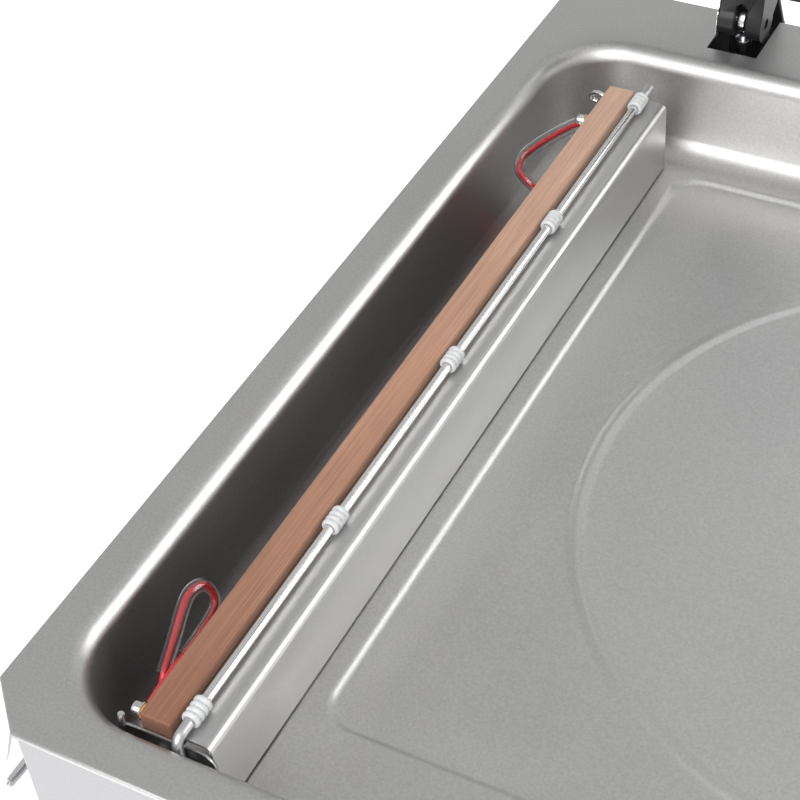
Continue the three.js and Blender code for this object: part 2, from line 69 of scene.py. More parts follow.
class Net:
    """Small helper round one material's node tree."""

    def __init__(self, name):
        self.m = bpy.data.materials.new(name)
        self.m.use_nodes = True
        self.t = self.m.node_tree
        self.b = self.t.nodes["Principled BSDF"]
        tc = self.t.nodes.new("ShaderNodeTexCoord")
        self.obj = tc.outputs["Object"]
        self.bump = None
        MATS[name] = self.m

    def link(self, a, b):
        self.t.links.new(a, b)

    def place(self, scale=(1, 1, 1), rot=(0, 0, 0), src=None):
        n = self.t.nodes.new("ShaderNodeMapping")
        n.inputs["Scale"].default_value = scale
        n.inputs["Rotation"].default_value = rot
        self.link(src or self.obj, n.inputs["Vector"])
        return n.outputs["Vector"]

    def noise(self, scale, vec=None, detail=4, rough=0.6, dist=0.0):
        n = self.t.nodes.new("ShaderNodeTexNoise")
        n.inputs["Scale"].default_value = scale
        n.inputs["Detail"].default_value = detail
        n.inputs["Roughness"].default_value = rough
        n.inputs["Distortion"].default_value = dist
        self.link(vec or self.obj, n.inputs["Vector"])
        return n.outputs["Fac"]

    def wave(self, scale, axis="X", vec=None, dist=0.0, detail=2, dscale=1.0, profile="SIN"):
        n = self.t.nodes.new("ShaderNodeTexWave")
        n.bands_direction = axis
        n.wave_profile = profile
        n.inputs["Scale"].default_value = scale
        n.inputs["Distortion"].default_value = dist
        n.inputs["Detail"].default_value = detail
        n.inputs["Detail Scale"].default_value = dscale
        self.link(vec or self.obj, n.inputs["Vector"])
        return n.outputs["Fac"]

    def ramp(self, fac, stops):
        n = self.t.nodes.new("ShaderNodeValToRGB")
        e = n.color_ramp.elements
        while len(e) < len(stops):
            e.new(0.5)
        for i, (p, c) in enumerate(stops):
            e[i].position = p
            e[i].color = (*c, 1) if len(c) == 3 else c
        self.link(fac, n.inputs["Fac"])
        return n.outputs["Color"]

    def map(self, fac, lo, hi, a=0.0, b=1.0):
        n = self.t.nodes.new("ShaderNodeMapRange")
        n.inputs["From Min"].default_value = a
        n.inputs["From Max"].default_value = b
        n.inputs["To Min"].default_value = lo
        n.inputs["To Max"].default_value = hi
        self.link(fac, n.inputs["Value"])
        return n.outputs["Result"]

    def mix(self, fac, c1, c2, mode="MIX"):
        n = self.t.nodes.new("ShaderNodeMix")
        n.data_type = "RGBA"
        n.blend_type = mode
        for s, v in ((n.inputs[0], fac), (n.inputs[6], c1), (n.inputs[7], c2)):
            if isinstance(v, (int, float)):
                s.default_value = v
            elif isinstance(v, tuple):
                s.default_value = (*v, 1) if len(v) == 3 else v
            else:
                self.link(v, s)
        return n.outputs[2]

    def math(self, op, a, b):
        n = self.t.nodes.new("ShaderNodeMath")
        n.operation = op
        for s, v in ((n.inputs[0], a), (n.inputs[1], b)):
            if isinstance(v, (int, float)):
                s.default_value = v
            else:
                self.link(v, s)
        return n.outputs[0]

    def axis(self, k):
        n = self.t.nodes.new("ShaderNodeSeparateXYZ")
        self.link(self.obj, n.inputs[0])
        return n.outputs[k]

    def add_bump(self, h, strength, dist_mm):
        n = self.t.nodes.new("ShaderNodeBump")
        n.inputs["Strength"].default_value = strength
        n.inputs["Distance"].default_value = dist_mm / 1000
        self.link(h, n.inputs["Height"])
        if self.bump:
            self.link(self.bump, n.inputs["Normal"])
        self.bump = n.outputs["Normal"]
        self.link(self.bump, self.b.inputs["Normal"])

    def set(self, **kw):
        names = {"color": "Base Color", "metal": "Metallic", "rough": "Roughness", "ior": "IOR", "spec": "Specular IOR Level",
                 "trans": "Transmission Weight", "coat": "Coat Weight", "coat_rough": "Coat Roughness", "sub": "Subsurface Weight",
                 "sub_scale": "Subsurface Scale", "aniso": "Anisotropic", "emit": "Emission Strength", "emit_color": "Emission Color",
                 "sheen": "Sheen Weight", "alpha": "Alpha"}
        for k, v in kw.items():
            s = self.b.inputs[names[k]]
            if isinstance(v, (int, float)):
                s.default_value = v
            elif isinstance(v, tuple):
                s.default_value = (*v, 1) if len(v) == 3 else v
            else:
                self.link(v, s)
        return self


def steel(name, c, rough, grain=0.03, streak=None, streak_amt=0.05, cloud=0.06, bump=0.02, aniso=0.0):
    """Satin sheet steel: fine grain, soft clouding and, if streak is set, brushing along that axis."""
    n = Net(name)
    fine = n.noise(900, detail=2)
    cloudy = n.noise(9, detail=5, rough=0.55)
    lo = tuple(v * (1 - grain) for v in c)
    hi = tuple(min(1, v * (1 + grain)) for v in c)
    col = n.ramp(fine, [(0.3, lo), (0.7, hi)])
    shade = n.ramp(cloudy, [(0.3, (1 - cloud,) * 3), (0.7, (1, 1, 1))])
    col = n.mix(1.0, col, shade, "MULTIPLY")
    r = n.map(cloudy, rough - 0.035, rough + 0.035, 0.3, 0.7)
    if streak is not None:
        s = [1500, 1500, 1500]
        s["XYZ".index(streak)] = 12
        line = n.noise(1.0, n.place(scale=tuple(s)), detail=3, rough=0.7)
        col = n.mix(1.0, col, n.ramp(line, [(0.3, (1 - streak_amt,) * 3), (0.7, (1, 1, 1))]), "MULTIPLY")
        r = n.math("ADD", r, n.map(line, -0.05, 0.05, 0.3, 0.7))
        n.add_bump(line, 0.10, bump)
    n.add_bump(fine, 0.12, bump)
    n.set(color=col, metal=1.0, rough=r)
    if aniso:
        n.set(aniso=aniso)
    return n.m


STEEL = (0.60, 0.595, 0.59)
deck_m = steel("deck_steel_satin", STEEL, 0.42, grain=0.08, streak="Y", streak_amt=0.03, cloud=0.08)
cover_m = steel("cover_steel_brushed", (0.62, 0.615, 0.61), 0.38, streak="Y", streak_amt=0.05, cloud=0.04, bump=0.006)
panel_m = steel("panel_steel_brushed", (0.42, 0.42, 0.432), 0.42, streak="X", streak_amt=0.02, cloud=0.03)
side_m = steel("side_steel_brushed", (0.44, 0.44, 0.452), 0.42, streak="Y", streak_amt=0.02, cloud=0.03)
plate_m = steel("plate_steel", (0.52, 0.52, 0.52), 0.34, cloud=0.1)
bright_m = steel("bright_steel", (0.80, 0.80, 0.80), 0.12, grain=0.01, cloud=0.03, bump=0.005)
matte_rod_m = steel("matte_rod_steel", (0.66, 0.66, 0.67), 0.42, grain=0.04, cloud=0.08)
zinc_m = steel("zinc_plate", (0.74, 0.75, 0.77), 0.24, grain=0.05, cloud=0.14)
alu_m = steel("aluminium_extruded", (0.62, 0.62, 0.63), 0.36, streak="Y", streak_amt=0.12, cloud=0.05)
screw_m = steel("screw_steel", (0.70, 0.70, 0.71), 0.22, grain=0.02, cloud=0.1)


def plastic(name, c, rough, grain_scale=1400, bump=0.03, var=0.12, coat=0.0, spec=0.5):
    n = Net(name)
    f = n.noise(grain_scale, detail=3)
    cl = n.noise(25, detail=4)
    lo = tuple(v * (1 - var) for v in c)
    hi = tuple(min(1, v * (1 + var)) for v in c)
    n.set(color=n.ramp(cl, [(0.3, lo), (0.7, hi)]), rough=n.map(f, rough - 0.05, rough + 0.05, 0.3, 0.7), spec=spec)
    if coat:
        n.set(coat=coat, coat_rough=0.08)
    n.add_bump(f, 0.25, bump)
    return n.m


black_m = plastic("hinge_black_cast", (0.016, 0.016, 0.018), 0.45, 700, 0.06, 0.2, coat=0.1, spec=0.35)
rubber_m = plastic("rubber_black", (0.022, 0.022, 0.023), 0.72, 1800, 0.06)
bladder_m = plastic("bladder_rubber", (0.03, 0.028, 0.027), 0.62, 900, 0.08)
switch_m = plastic("switch_black", (0.016, 0.016, 0.018), 0.30, 2500, 0.015)
red_m = plastic("stop_red", (0.62, 0.02, 0.018), 0.26, 2500, 0.01, 0.05, coat=0.4)
stop_dark_m = plastic("stop_collar", (0.03, 0.03, 0.032), 0.35, 2500, 0.01)
wire_m = plastic("wire_red", (0.66, 0.018, 0.03), 0.30, 2500, 0.01, 0.08, coat=0.4)
paint_m = plastic("pump_paint", (0.13, 0.16, 0.19), 0.42, 600, 0.08, 0.1)
counter_m = plastic("counter_silicone", (0.62, 0.60, 0.57), 0.55, 1200, 0.04, 0.04)
white_m = plastic("dial_white", (0.86, 0.86, 0.85), 0.45, 2500, 0.005, 0.01)
ink_m = plastic("dial_ink", (0.015, 0.015, 0.015), 0.5, 2500, 0.005)
key_m = plastic("key_membrane", (0.10, 0.11, 0.125), 0.42, 2200, 0.02)
keylite_m = plastic("key_mark", (0.72, 0.74, 0.76), 0.45, 2200, 0.01)
overlay_m = plastic("overlay_film", (0.035, 0.038, 0.044), 0.30, 2600, 0.012, coat=0.3)
green_m = plastic("key_green", (0.03, 0.30, 0.12), 0.4, 2200, 0.01)


def make_silicone():
    n = Net("silicone_translucent")
    f = n.noise(500, detail=3)
    n.set(color=n.ramp(f, [(0.3, (0.66, 0.67, 0.68)), (0.7, (0.75, 0.75, 0.75))]), rough=n.map(f, 0.30, 0.42, 0.3, 0.7), sub=0.65,
          sub_scale=0.002, trans=0.12, ior=1.41)
    n.b.inputs["Subsurface Radius"].default_value = (1.0, 1.0, 1.0)
    n.add_bump(f, 0.15, 0.03)
    return n.m


silicone_m = make_silicone()


def make_clear(name, c, rough, ior, trans=1.0):
    n = Net(name)
    f = n.noise(160, detail=3)
    n.set(color=n.ramp(f, [(0.3, c), (0.7, tuple(min(1, v * 1.02) for v in c))]), rough=n.map(f, max(0, rough - 0.015), rough + 0.02, 0.3, 0.7), trans=trans, ior=ior)
    n.add_bump(f, 0.06, 0.03)
    return n.m


acrylic_m = make_clear("acrylic_clear", (0.965, 0.985, 0.985), 0.015, 1.49)
tube_m = make_clear("clear_tubing", (0.95, 0.94, 0.94), 0.12, 1.48)
glass_m = make_clear("gauge_glass", (0.97, 0.98, 0.98), 0.01, 1.10)


def make_ptfe():
    """Glass cloth coated with PTFE: threads about 1.1 mm apart, the long ones strongest."""
    n = Net("ptfe_cloth")
    y = n.axis(1)
    # painted light: the cloth is drawn dark brown at the bar's front end and light brown at its rear, a brightness
    # gradient standing in for how light falls along the bar
    painted_light_along_bar = n.ramp(n.map(y, 0, 1, -0.235, 0.19), [(0.0, (0.269, 0.120, 0.0705)), (0.45, (0.457, 0.245, 0.157)), (1.0, (0.59, 0.385, 0.289))])
    warp = n.wave(0.32, "X", n.place(scale=(1000, 1000, 1000)), dist=1.1, detail=2, dscale=0.08)
    weft = n.wave(0.36, "Y", n.place(scale=(1000, 1000, 1000)), dist=0.8, detail=1, dscale=0.1)
    side = n.wave(0.32, "Z", n.place(scale=(1000, 1000, 1000)), dist=0.6, detail=2, dscale=0.08)
    streak = n.noise(1.0, n.place(scale=(1400, 22, 1400)), detail=3, rough=0.7)
    cloud = n.noise(30, detail=3)
    col = n.mix(1.0, painted_light_along_bar, n.ramp(warp, [(0.0, (0.87,) * 3), (1.0, (1.08,) * 3)]), "MULTIPLY")
    col = n.mix(1.0, col, n.ramp(side, [(0.0, (0.94,) * 3), (1.0, (1.04,) * 3)]), "MULTIPLY")
    col = n.mix(1.0, col, n.ramp(streak, [(0.3, (0.76, 0.74, 0.72)), (0.7, (1.14, 1.14, 1.14))]), "MULTIPLY")
    col = n.mix(1.0, col, n.ramp(weft, [(0.0, (0.95,) * 3), (1.0, (1.03,) * 3)]), "MULTIPLY")
    col = n.mix(1.0, col, n.ramp(cloud, [(0.3, (0.94, 0.93, 0.92)), (0.7, (1, 1, 1))]), "MULTIPLY")
    h = n.math("ADD", warp, n.math("MULTIPLY", weft, 0.5))
    h = n.math("ADD", h, n.math("MULTIPLY", side, 0.5))
    n.add_bump(h, 0.35, 0.10)
    n.add_bump(streak, 0.15, 0.05)
    n.set(color=col, rough=n.map(streak, 0.46, 0.62, 0.3, 0.7), sheen=0.15, spec=0.45)
    return n.m


ptfe_m = make_ptfe()
fringe_m = plastic("cloth_cut_edge", (0.72, 0.36, 0.06), 0.6, 900, 0.05, 0.25)


def floor_material():
    n = Net("studio_floor")
    f = n.noise(6, detail=3)
    n.set(color=n.ramp(f, [(0.3, (0.90, 0.90, 0.905)), (0.7, (0.92, 0.92, 0.92))]), rough=0.8, spec=0.2, emit_color=(1, 1, 1), emit=0.62)
    return n.m


# ------------------------------------------------------------------ mesh helpers
K, MS = 28, 14


def rr(x0, x1, y0, y1, r, z, chamfer=False, k=None, ms=None):
    """Closed loop in plan: four corners of k steps and four sides of ms steps."""
    k, ms = k or K, ms or MS
    out = []
    cs = [(x1 - r, y0 + r, -90), (x1 - r, y1 - r, 0), (x0 + r, y1 - r, 90), (x0 + r, y0 + r, 180)]
    for ci, (cx, cy, a0) in enumerate(cs):
        arc = []
        for i in range(k + 1):
            if chamfer:
                a, b, t = math.radians(a0), math.radians(a0 + 90), i / k
                arc.append((cx + r * (math.cos(a) * (1 - t) + math.cos(b) * t), cy + r * (math.sin(a) * (1 - t) + math.sin(b) * t)))
            else:
                a = math.radians(a0 + 90 * i / k)
                arc.append((cx + r * math.cos(a), cy + r * math.sin(a)))
        nx, ny, na = cs[(ci + 1) % 4]
        b = math.radians(na)
        e = (nx + r * math.cos(b), ny + r * math.sin(b))
        s = arc[-1]
        out += [(p[0], p[1], z) for p in arc]
        out += [(s[0] + (e[0] - s[0]) * j / ms, s[1] + (e[1] - s[1]) * j / ms, z) for j in range(1, ms)]
    return out


def loft_faces(n, rows, ring=False, cap=True):
    f = []
    for j in range(rows if ring else rows - 1):
        for i in range(n):
            a, b = j * n + i, j * n + (i + 1) % n
            j2 = (j + 1) % rows
            f.append((a, b, j2 * n + (i + 1) % n, j2 * n + i))
    if not ring and cap:
        f.append(tuple(reversed(range(n))))
        f.append(tuple(range((rows - 1) * n, rows * n)))
    return f


def mesh(name, verts, faces, m, body=None, sharp=35, local=True, replaces=(), slot=None, smooth=True):
    me = bpy.data.meshes.new(name)
    me.from_pydata([P(*v) for v in verts] if local else verts, [], faces)
    me.validate()
    me.update()
    if smooth:
        me.polygons.foreach_set("use_smooth", [True] * len(me.polygons))
        me.set_sharp_from_angle(angle=math.radians(sharp))
    me.materials.append(m)
    o = bpy.data.objects.new(name, me)
    scene.collection.objects.link(o)
    if body:
        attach(o, body)
    if replaces:
        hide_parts(*replaces)
    return o


def bake(o, sharp=35):
    """Applies the object's modifiers to its own mesh."""
    bpy.context.view_layer.update()
    dg = bpy.context.evaluated_depsgraph_get()
    me = bpy.data.meshes.new_from_object(o.evaluated_get(dg))
    old = o.data
    o.modifiers.clear()
    o.data = me
    me.name = old.name + "_m"
    bpy.data.meshes.remove(old)
    me.polygons.foreach_set("use_smooth", [True] * len(me.polygons))
    me.set_sharp_from_angle(angle=math.radians(sharp))
    return o


def boolean(o, cutters, op="DIFFERENCE"):
    for c in cutters:
        md = o.modifiers.new("cut", "BOOLEAN")
        md.operation = op
        md.solver = "EXACT"
        md.object = c
    bake(o)
    for c in cutters:
        me = c.data
        bpy.data.objects.remove(c)
        bpy.data.meshes.remove(me)
    return o


def box_data(x0, x1, y0, y1, z0, z1):
    v = [(x, y, z) for x in (x0, x1) for y in (y0, y1) for z in (z0, z1)]
    f = [(0, 1, 3, 2), (4, 6, 7, 5), (0, 4, 5, 1), (2, 3, 7, 6), (0, 2, 6, 4), (1, 5, 7, 3)]
    return v, f


def cutter(x0, x1, y0, y1, z0, z1):
    v, f = box_data(x0, x1, y0, y1, z0, z1)
    return mesh("cutter", v, f, deck_m, smooth=False)


def bevel(o, width, segments=3, angle=35):
    md = o.modifiers.new("bevel", "BEVEL")
    md.width = width / 1000
    md.segments = segments
    md.limit_method = "ANGLE"
    md.angle_limit = math.radians(angle)
    md.use_clamp_overlap = True
    return o


def rbox(name, x0, x1, y0, y1, z0, z1, r, m, body, k=4, er=None, turn=None, **kw):
    """Box with rounded plan corners and rounded top and bottom edges."""
    er = er if er is not None else min(r, (z1 - z0) / 2.01)
    loops = []
    st = [0, 30, 60, 90] if er > 0.8 else [0, 45, 90]
    for a in st:
        s, c = math.sin(math.radians(a)), math.cos(math.radians(a))
        d = er * (1 - s)
        loops.append(rr(x0 + d, x1 - d, y0 + d, y1 - d, max(r - d, 0.02), z0 + er * (1 - c), k=k, ms=2))
    for a in reversed(st):
        s, c = math.sin(math.radians(a)), math.cos(math.radians(a))
        d = er * (1 - s)
        loops.append(rr(x0 + d, x1 - d, y0 + d, y1 - d, max(r - d, 0.02), z1 - er * (1 - c), k=k, ms=2))
    v = [p for l in loops for p in l]
    if turn:
        v = [turn(p) for p in v]
    return mesh(name, v, loft_faces(len(loops[0]), len(loops)), m, body, **kw)


def frames(path):
    """Square-on frames along a run of points, turned as little as possible."""
    pts = [Vector(p) for p in path]
    out, n = [], None
    for i, p in enumerate(pts):
        d = (pts[min(i + 1, len(pts) - 1)] - pts[max(i - 1, 0)]).normalized()
        if n is None:
            n = Vector((0, 0, 1)) if abs(d.z) < 0.9 else Vector((1, 0, 0))
        n = (n - d * n.dot(d)).normalized()
        out.append((p, n, d.cross(n)))
    return out


def spline(pts, steps):
    """Catmull-Rom through pts."""
    q = [Vector(p) for p in pts]
    q = [q[0] * 2 - q[1]] + q + [q[-1] * 2 - q[-2]]
    out = []
    for i in range(1, len(q) - 2):
        for j in range(steps):
            t = j / steps
            a, b, c, d = q[i - 1], q[i], q[i + 1], q[i + 2]
            out.append(0.5 * ((2 * b) + (c - a) * t + (2 * a - 5 * b + 4 * c - d) * t * t + (3 * b - a - 3 * c + d) * t ** 3))
    out.append(q[-2])
    return out


def tube_data(path, radius, n=20, flat=1.0, hollow=None):
    """radius is a number or one per point; flat squeezes one side; hollow gives the inner radius."""
    fr = frames(path)
    rad = radius if isinstance(radius, (list, tuple)) else [radius] * len(fr)
    rows = []

    def ring(i, r, push=0.0):
        p, a, b = fr[i]
        d = a.cross(b)
        return [tuple(p + d * push + a * (r * math.cos(t)) + b * (r * flat * math.sin(t))) for t in [2 * math.pi * k / n for k in range(n)]]
    for i in range(len(fr)):
        rows.append(ring(i, rad[i]))
    v = [p for l in rows for p in l]
    if hollow:
        for i in reversed(range(len(fr))):
            v += ring(i, rad[i] * hollow)
        return v, loft_faces(n, 2 * len(fr), ring=True)
    return v, loft_faces(n, len(rows))


def flip(faces):
    return [tuple(reversed(f)) for f in faces]


def tube(name, path, radius, m, body, n=20, mirror=False, flat=1.0, hollow=None, **kw):
    v, f = tube_data(path, radius, n, flat, hollow)
    if mirror:
        v = [(-x, y, z) for x, y, z in v]
        f = flip(f)
    return mesh(name, v, fix(v, f), m, body, **kw)


def fix(v, f):
    """Turns a closed mesh's faces outwards if its volume comes out negative."""
    vol = 0
    for q in f:
        a = Vector(v[q[0]])
        for i in range(1, len(q) - 1):
            vol += a.dot(Vector(v[q[i]]).cross(Vector(v[q[i + 1]])))
    return flip(f) if vol < 0 else f


def lathe_data(profile, centre, axis, n=48):
    """profile of (radius, along) from one end to the other; closes on the axis where the radius is 0."""
    c, d = Vector(centre), Vector(axis).normalized()
    a = Vector((0, 0, 1)) if abs(d.z) < 0.9 else Vector((1, 0, 0))
    a = (a - d * a.dot(d)).normalized()
    b = d.cross(a)
    v, f, rows = [], [], []
    for r, h in profile:
        if r <= 1e-6:
            rows.append([len(v)])
            v.append(tuple(c + d * h))
        else:
            rows.append(list(range(len(v), len(v) + n)))
            v += [tuple(c + d * h + a * (r * math.cos(2 * math.pi * k / n)) + b * (r * math.sin(2 * math.pi * k / n))) for k in range(n)]
    for r0, r1 in zip(rows, rows[1:]):
        for k in range(n):
            k2 = (k + 1) % n
            if len(r0) == 1 and len(r1) == 1:
                continue
            if len(r0) == 1:
                f.append((r0[0], r1[k], r1[k2]))
            elif len(r1) == 1:
                f.append((r0[k], r1[0], r0[k2]))
            else:
                f.append((r0[k], r1[k], r1[k2], r0[k2]))
    return v, fix(v, f)


def lathe(name, profile, centre, axis, m, body, n=48, turn=None, closed=False, **kw):
    if closed:
        profile = profile + [profile[0]]
    v, f = lathe_data(profile, centre, axis, n)
    if closed:
        # the last ring repeats the first
        first, last = list(range(n)), list(range(len(v) - n, len(v)))
        remap = {last[i]: first[i] for i in range(n)}
        f = [tuple(remap.get(i, i) for i in q) for q in f]
        v = v[:-n]
        f = fix(v, f)
    if turn:
        v = [turn(p) for p in v]
    return mesh(name, v, f, m, body, **kw)


def extrude_data(outline, axis, a0, a1):
    """outline of (u, v) extruded along an axis: X takes (y, z), Y takes (x, z), Z takes (x, y)."""
    def pt(u, w, a):
        return {"X": (a, u, w), "Y": (u, a, w), "Z": (u, w, a)}[axis]
    n = len(outline)
    v = [pt(u, w, a0) for u, w in outline] + [pt(u, w, a1) for u, w in outline]
    f = [tuple(range(n)), tuple(range(2 * n - 1, n - 1, -1))] + [(i, (i + 1) % n, n + (i + 1) % n, n + i) for i in range(n)]
    return v, fix(v, f)


def extrude(name, outline, axis, a0, a1, m, body, turn=None, **kw):
    v, f = extrude_data(outline, axis, a0, a1)
    if turn:
        v = [turn(p) for p in v]
    return mesh(name, v, fix(v, f), m, body, **kw)


def arc(cx, cy, r, a0, a1, n):
    return [(cx + r * math.cos(math.radians(a0 + (a1 - a0) * i / n)), cy + r * math.sin(math.radians(a0 + (a1 - a0) * i / n))) for i in range(n + 1)]


def screw(name, x, y, z, axis, body, r=3.2, h=1.6, m=None, turn=None):
    """Pan head with a round socket recess, its seat at the point and its head towards axis."""
    prof = [(0, h * 0.35), (r * 0.42, h * 0.35), (r * 0.48, h), (r * 0.72, h * 0.98), (r * 0.92, h * 0.72), (r, h * 0.35), (r, 0), (0, 0)]
    return lathe(name, prof, (x, y, z), axis, m or screw_m, body, n=24, turn=turn)


def hexnut(name, x, y, z, axis, body, r, h, bore=0.0, m=None):
    prof = [(bore, h), (r * 0.9, h), (r, h * 0.82), (r, h * 0.18), (r * 0.9, 0), (bore, 0)]
    if bore:
        return lathe(name, prof, (x, y, z), axis, m or zinc_m, body, n=6, closed=True, sharp=20)
    return lathe(name, prof, (x, y, z), axis, m or zinc_m, body, n=6, sharp=20)


def paint(name, m):
    o = N[name]
    for s in o.material_slots:
        s.material = m
    return o


DECK, B, FLOOR = 300, 296, 254

# ------------------------------------------------------------------ deck and drawn chamber
MX, MY0, MY1, MR, LIP = 267, -240.3, 211.7, 34, 9


def deck_skin():
    def m(dx, d0, d1, r, z):
        return rr(-MX + dx, MX - dx, MY0 + d0, MY1 - d1, r, z)

    def rows(off):
        o, q = [], LIP - off
        if not off:
            o += [m(-10.6, -10.6, -10.6, MR + 10.6, DECK), m(-9.5, -9.5, -9.5, MR + 9.5, DECK)]
        keys = []
        for a in range(0, 91, 9 if not off else 18):
            s, c = math.sin(math.radians(a)), math.cos(math.radians(a))
            d = -LIP + q * s
            keys.append((d, d, d, MR - d, DECK - LIP + q * c))
        keys.append((0.5 - off, 0.3 - off, 0.8 - off, 33.6, 285))
        keys.append((1.4 - off, 0.9 - off, 2.2 - off, 32.4, 278))
        keys.append((3.2 - off, 1.8 - off, 4.3 - off, 31, 269.5))
        rb = 13 + off
        for a in range(25, 91, 8 if not off else 16):
            a = min(a, 90)
            s, c = math.sin(math.radians(a)), math.cos(math.radians(a))
            d = 13 - rb * c
            keys.append((5 + d, 2.5 + d, 6 + d, MR - 5 - d, FLOOR + 13 - rb * s))
        keys.append((18.6, 16.1, 19.6, 15.4, FLOOR - off))
        if not off:
            dense = []
            for i in range(len(keys) - 1):
                a, b, c, d = keys[max(i - 1, 0)], keys[i], keys[i + 1], keys[min(i + 2, len(keys) - 1)]
                for t in (0, 0.5):
                    dense.append(tuple(0.5 * (2 * b[k] + (c[k] - a[k]) * t + (2 * a[k] - 5 * b[k] + 4 * c[k] - d[k]) * t * t + (3 * b[k] - a[k] - 3 * c[k] + d[k]) * t ** 3) for k in range(5)))
            keys = dense + [keys[-1]]
        o += [m(*k) for k in keys]
        F = FLOOR - off
        # first step: a pressed shoulder 2 deep
        for t in ([-1.0, -0.72, -0.5, -0.25, 0.0, 0.25, 0.5, 0.72, 1.0] if not off else [-1, 1]):
            e = 0.5 - 0.5 * math.sin(t * math.pi / 2)
            x = 195.2 - 2.2 * t
            o.append(rr(-x, x, -182.2 + 2.2 * t, 184.2 - 2.2 * t, 15 - t, F - 2.0 * (1 - e)))
        # tray rising gently to its middle
        for x, y0, y1, r, z in ((190, -177.5, 179.5, 16, -1.95), (170, -163.8, 166.6, 37, -1.40), (167, -162.2, 165.2, 39, -1.32), (165.6, -161.5, 164.5, 40, -1.3), (163.5, -160, 163, 40, -1.3)):
            o.append(rr(-x, x, y0, y1, r, F + z))
        tmpl = o[-1]

        def circle(r, z):
            out = []
            for p in tmpl:
                a = math.atan2(p[1] - 2, p[0])
                out.append((r * math.cos(a), 2 + r * math.sin(a), F + z))
            return out
        R0 = 156.5
        if off:
            o += [circle(R0 + 4.5, -1.3), circle(R0, -0.4), circle(R0 - 4.5, -1.3)]
        else:
            for i in range(15):
                t = -1 + 2 * i / 14
                o.append(circle(R0 - 4.6 * t, -1.3 + 0.9 * (0.5 + 0.5 * math.cos(t * math.pi))))
            o += [circle(140, -1.3), circle(80, -1.3), circle(20, -1.3)]
        return o
    top = [rr(-288 + i, 288 - i, -262 + i, 265 - i, 19, z, True) for i, z in ((0, 298.9), (0.12, 299.45), (0.45, 299.86), (1.0, 300), (1.6, 300))]
    top += rows(0)
    bot = [rr(-288, 288, -262, 265, 19, 298, True)] + rows(1.2)
    loops = list(reversed(bot)) + top
    n = len(loops[0])
    v = [p for l in loops for p in l]
    f = loft_faces(n, len(loops))
    o = mesh("deck_and_chamber", v, fix(v, f), deck_m, sharp=50)
    boolean(o, [cutter(s * 175.1 if s > 0 else -200.9, 200.9 if s > 0 else -175.1, 229.4, 270, 294, 303) for s in (1, -1)])
    o.data.set_sharp_from_angle(angle=math.radians(50))
    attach(o, "cabinet")
    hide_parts("deck_chamber")
    return o


deck_skin()

# ------------------------------------------------------------------ one side of the chamber
BX, BY0, BL, BWH = 228.1, -233.1, 420, 6.7


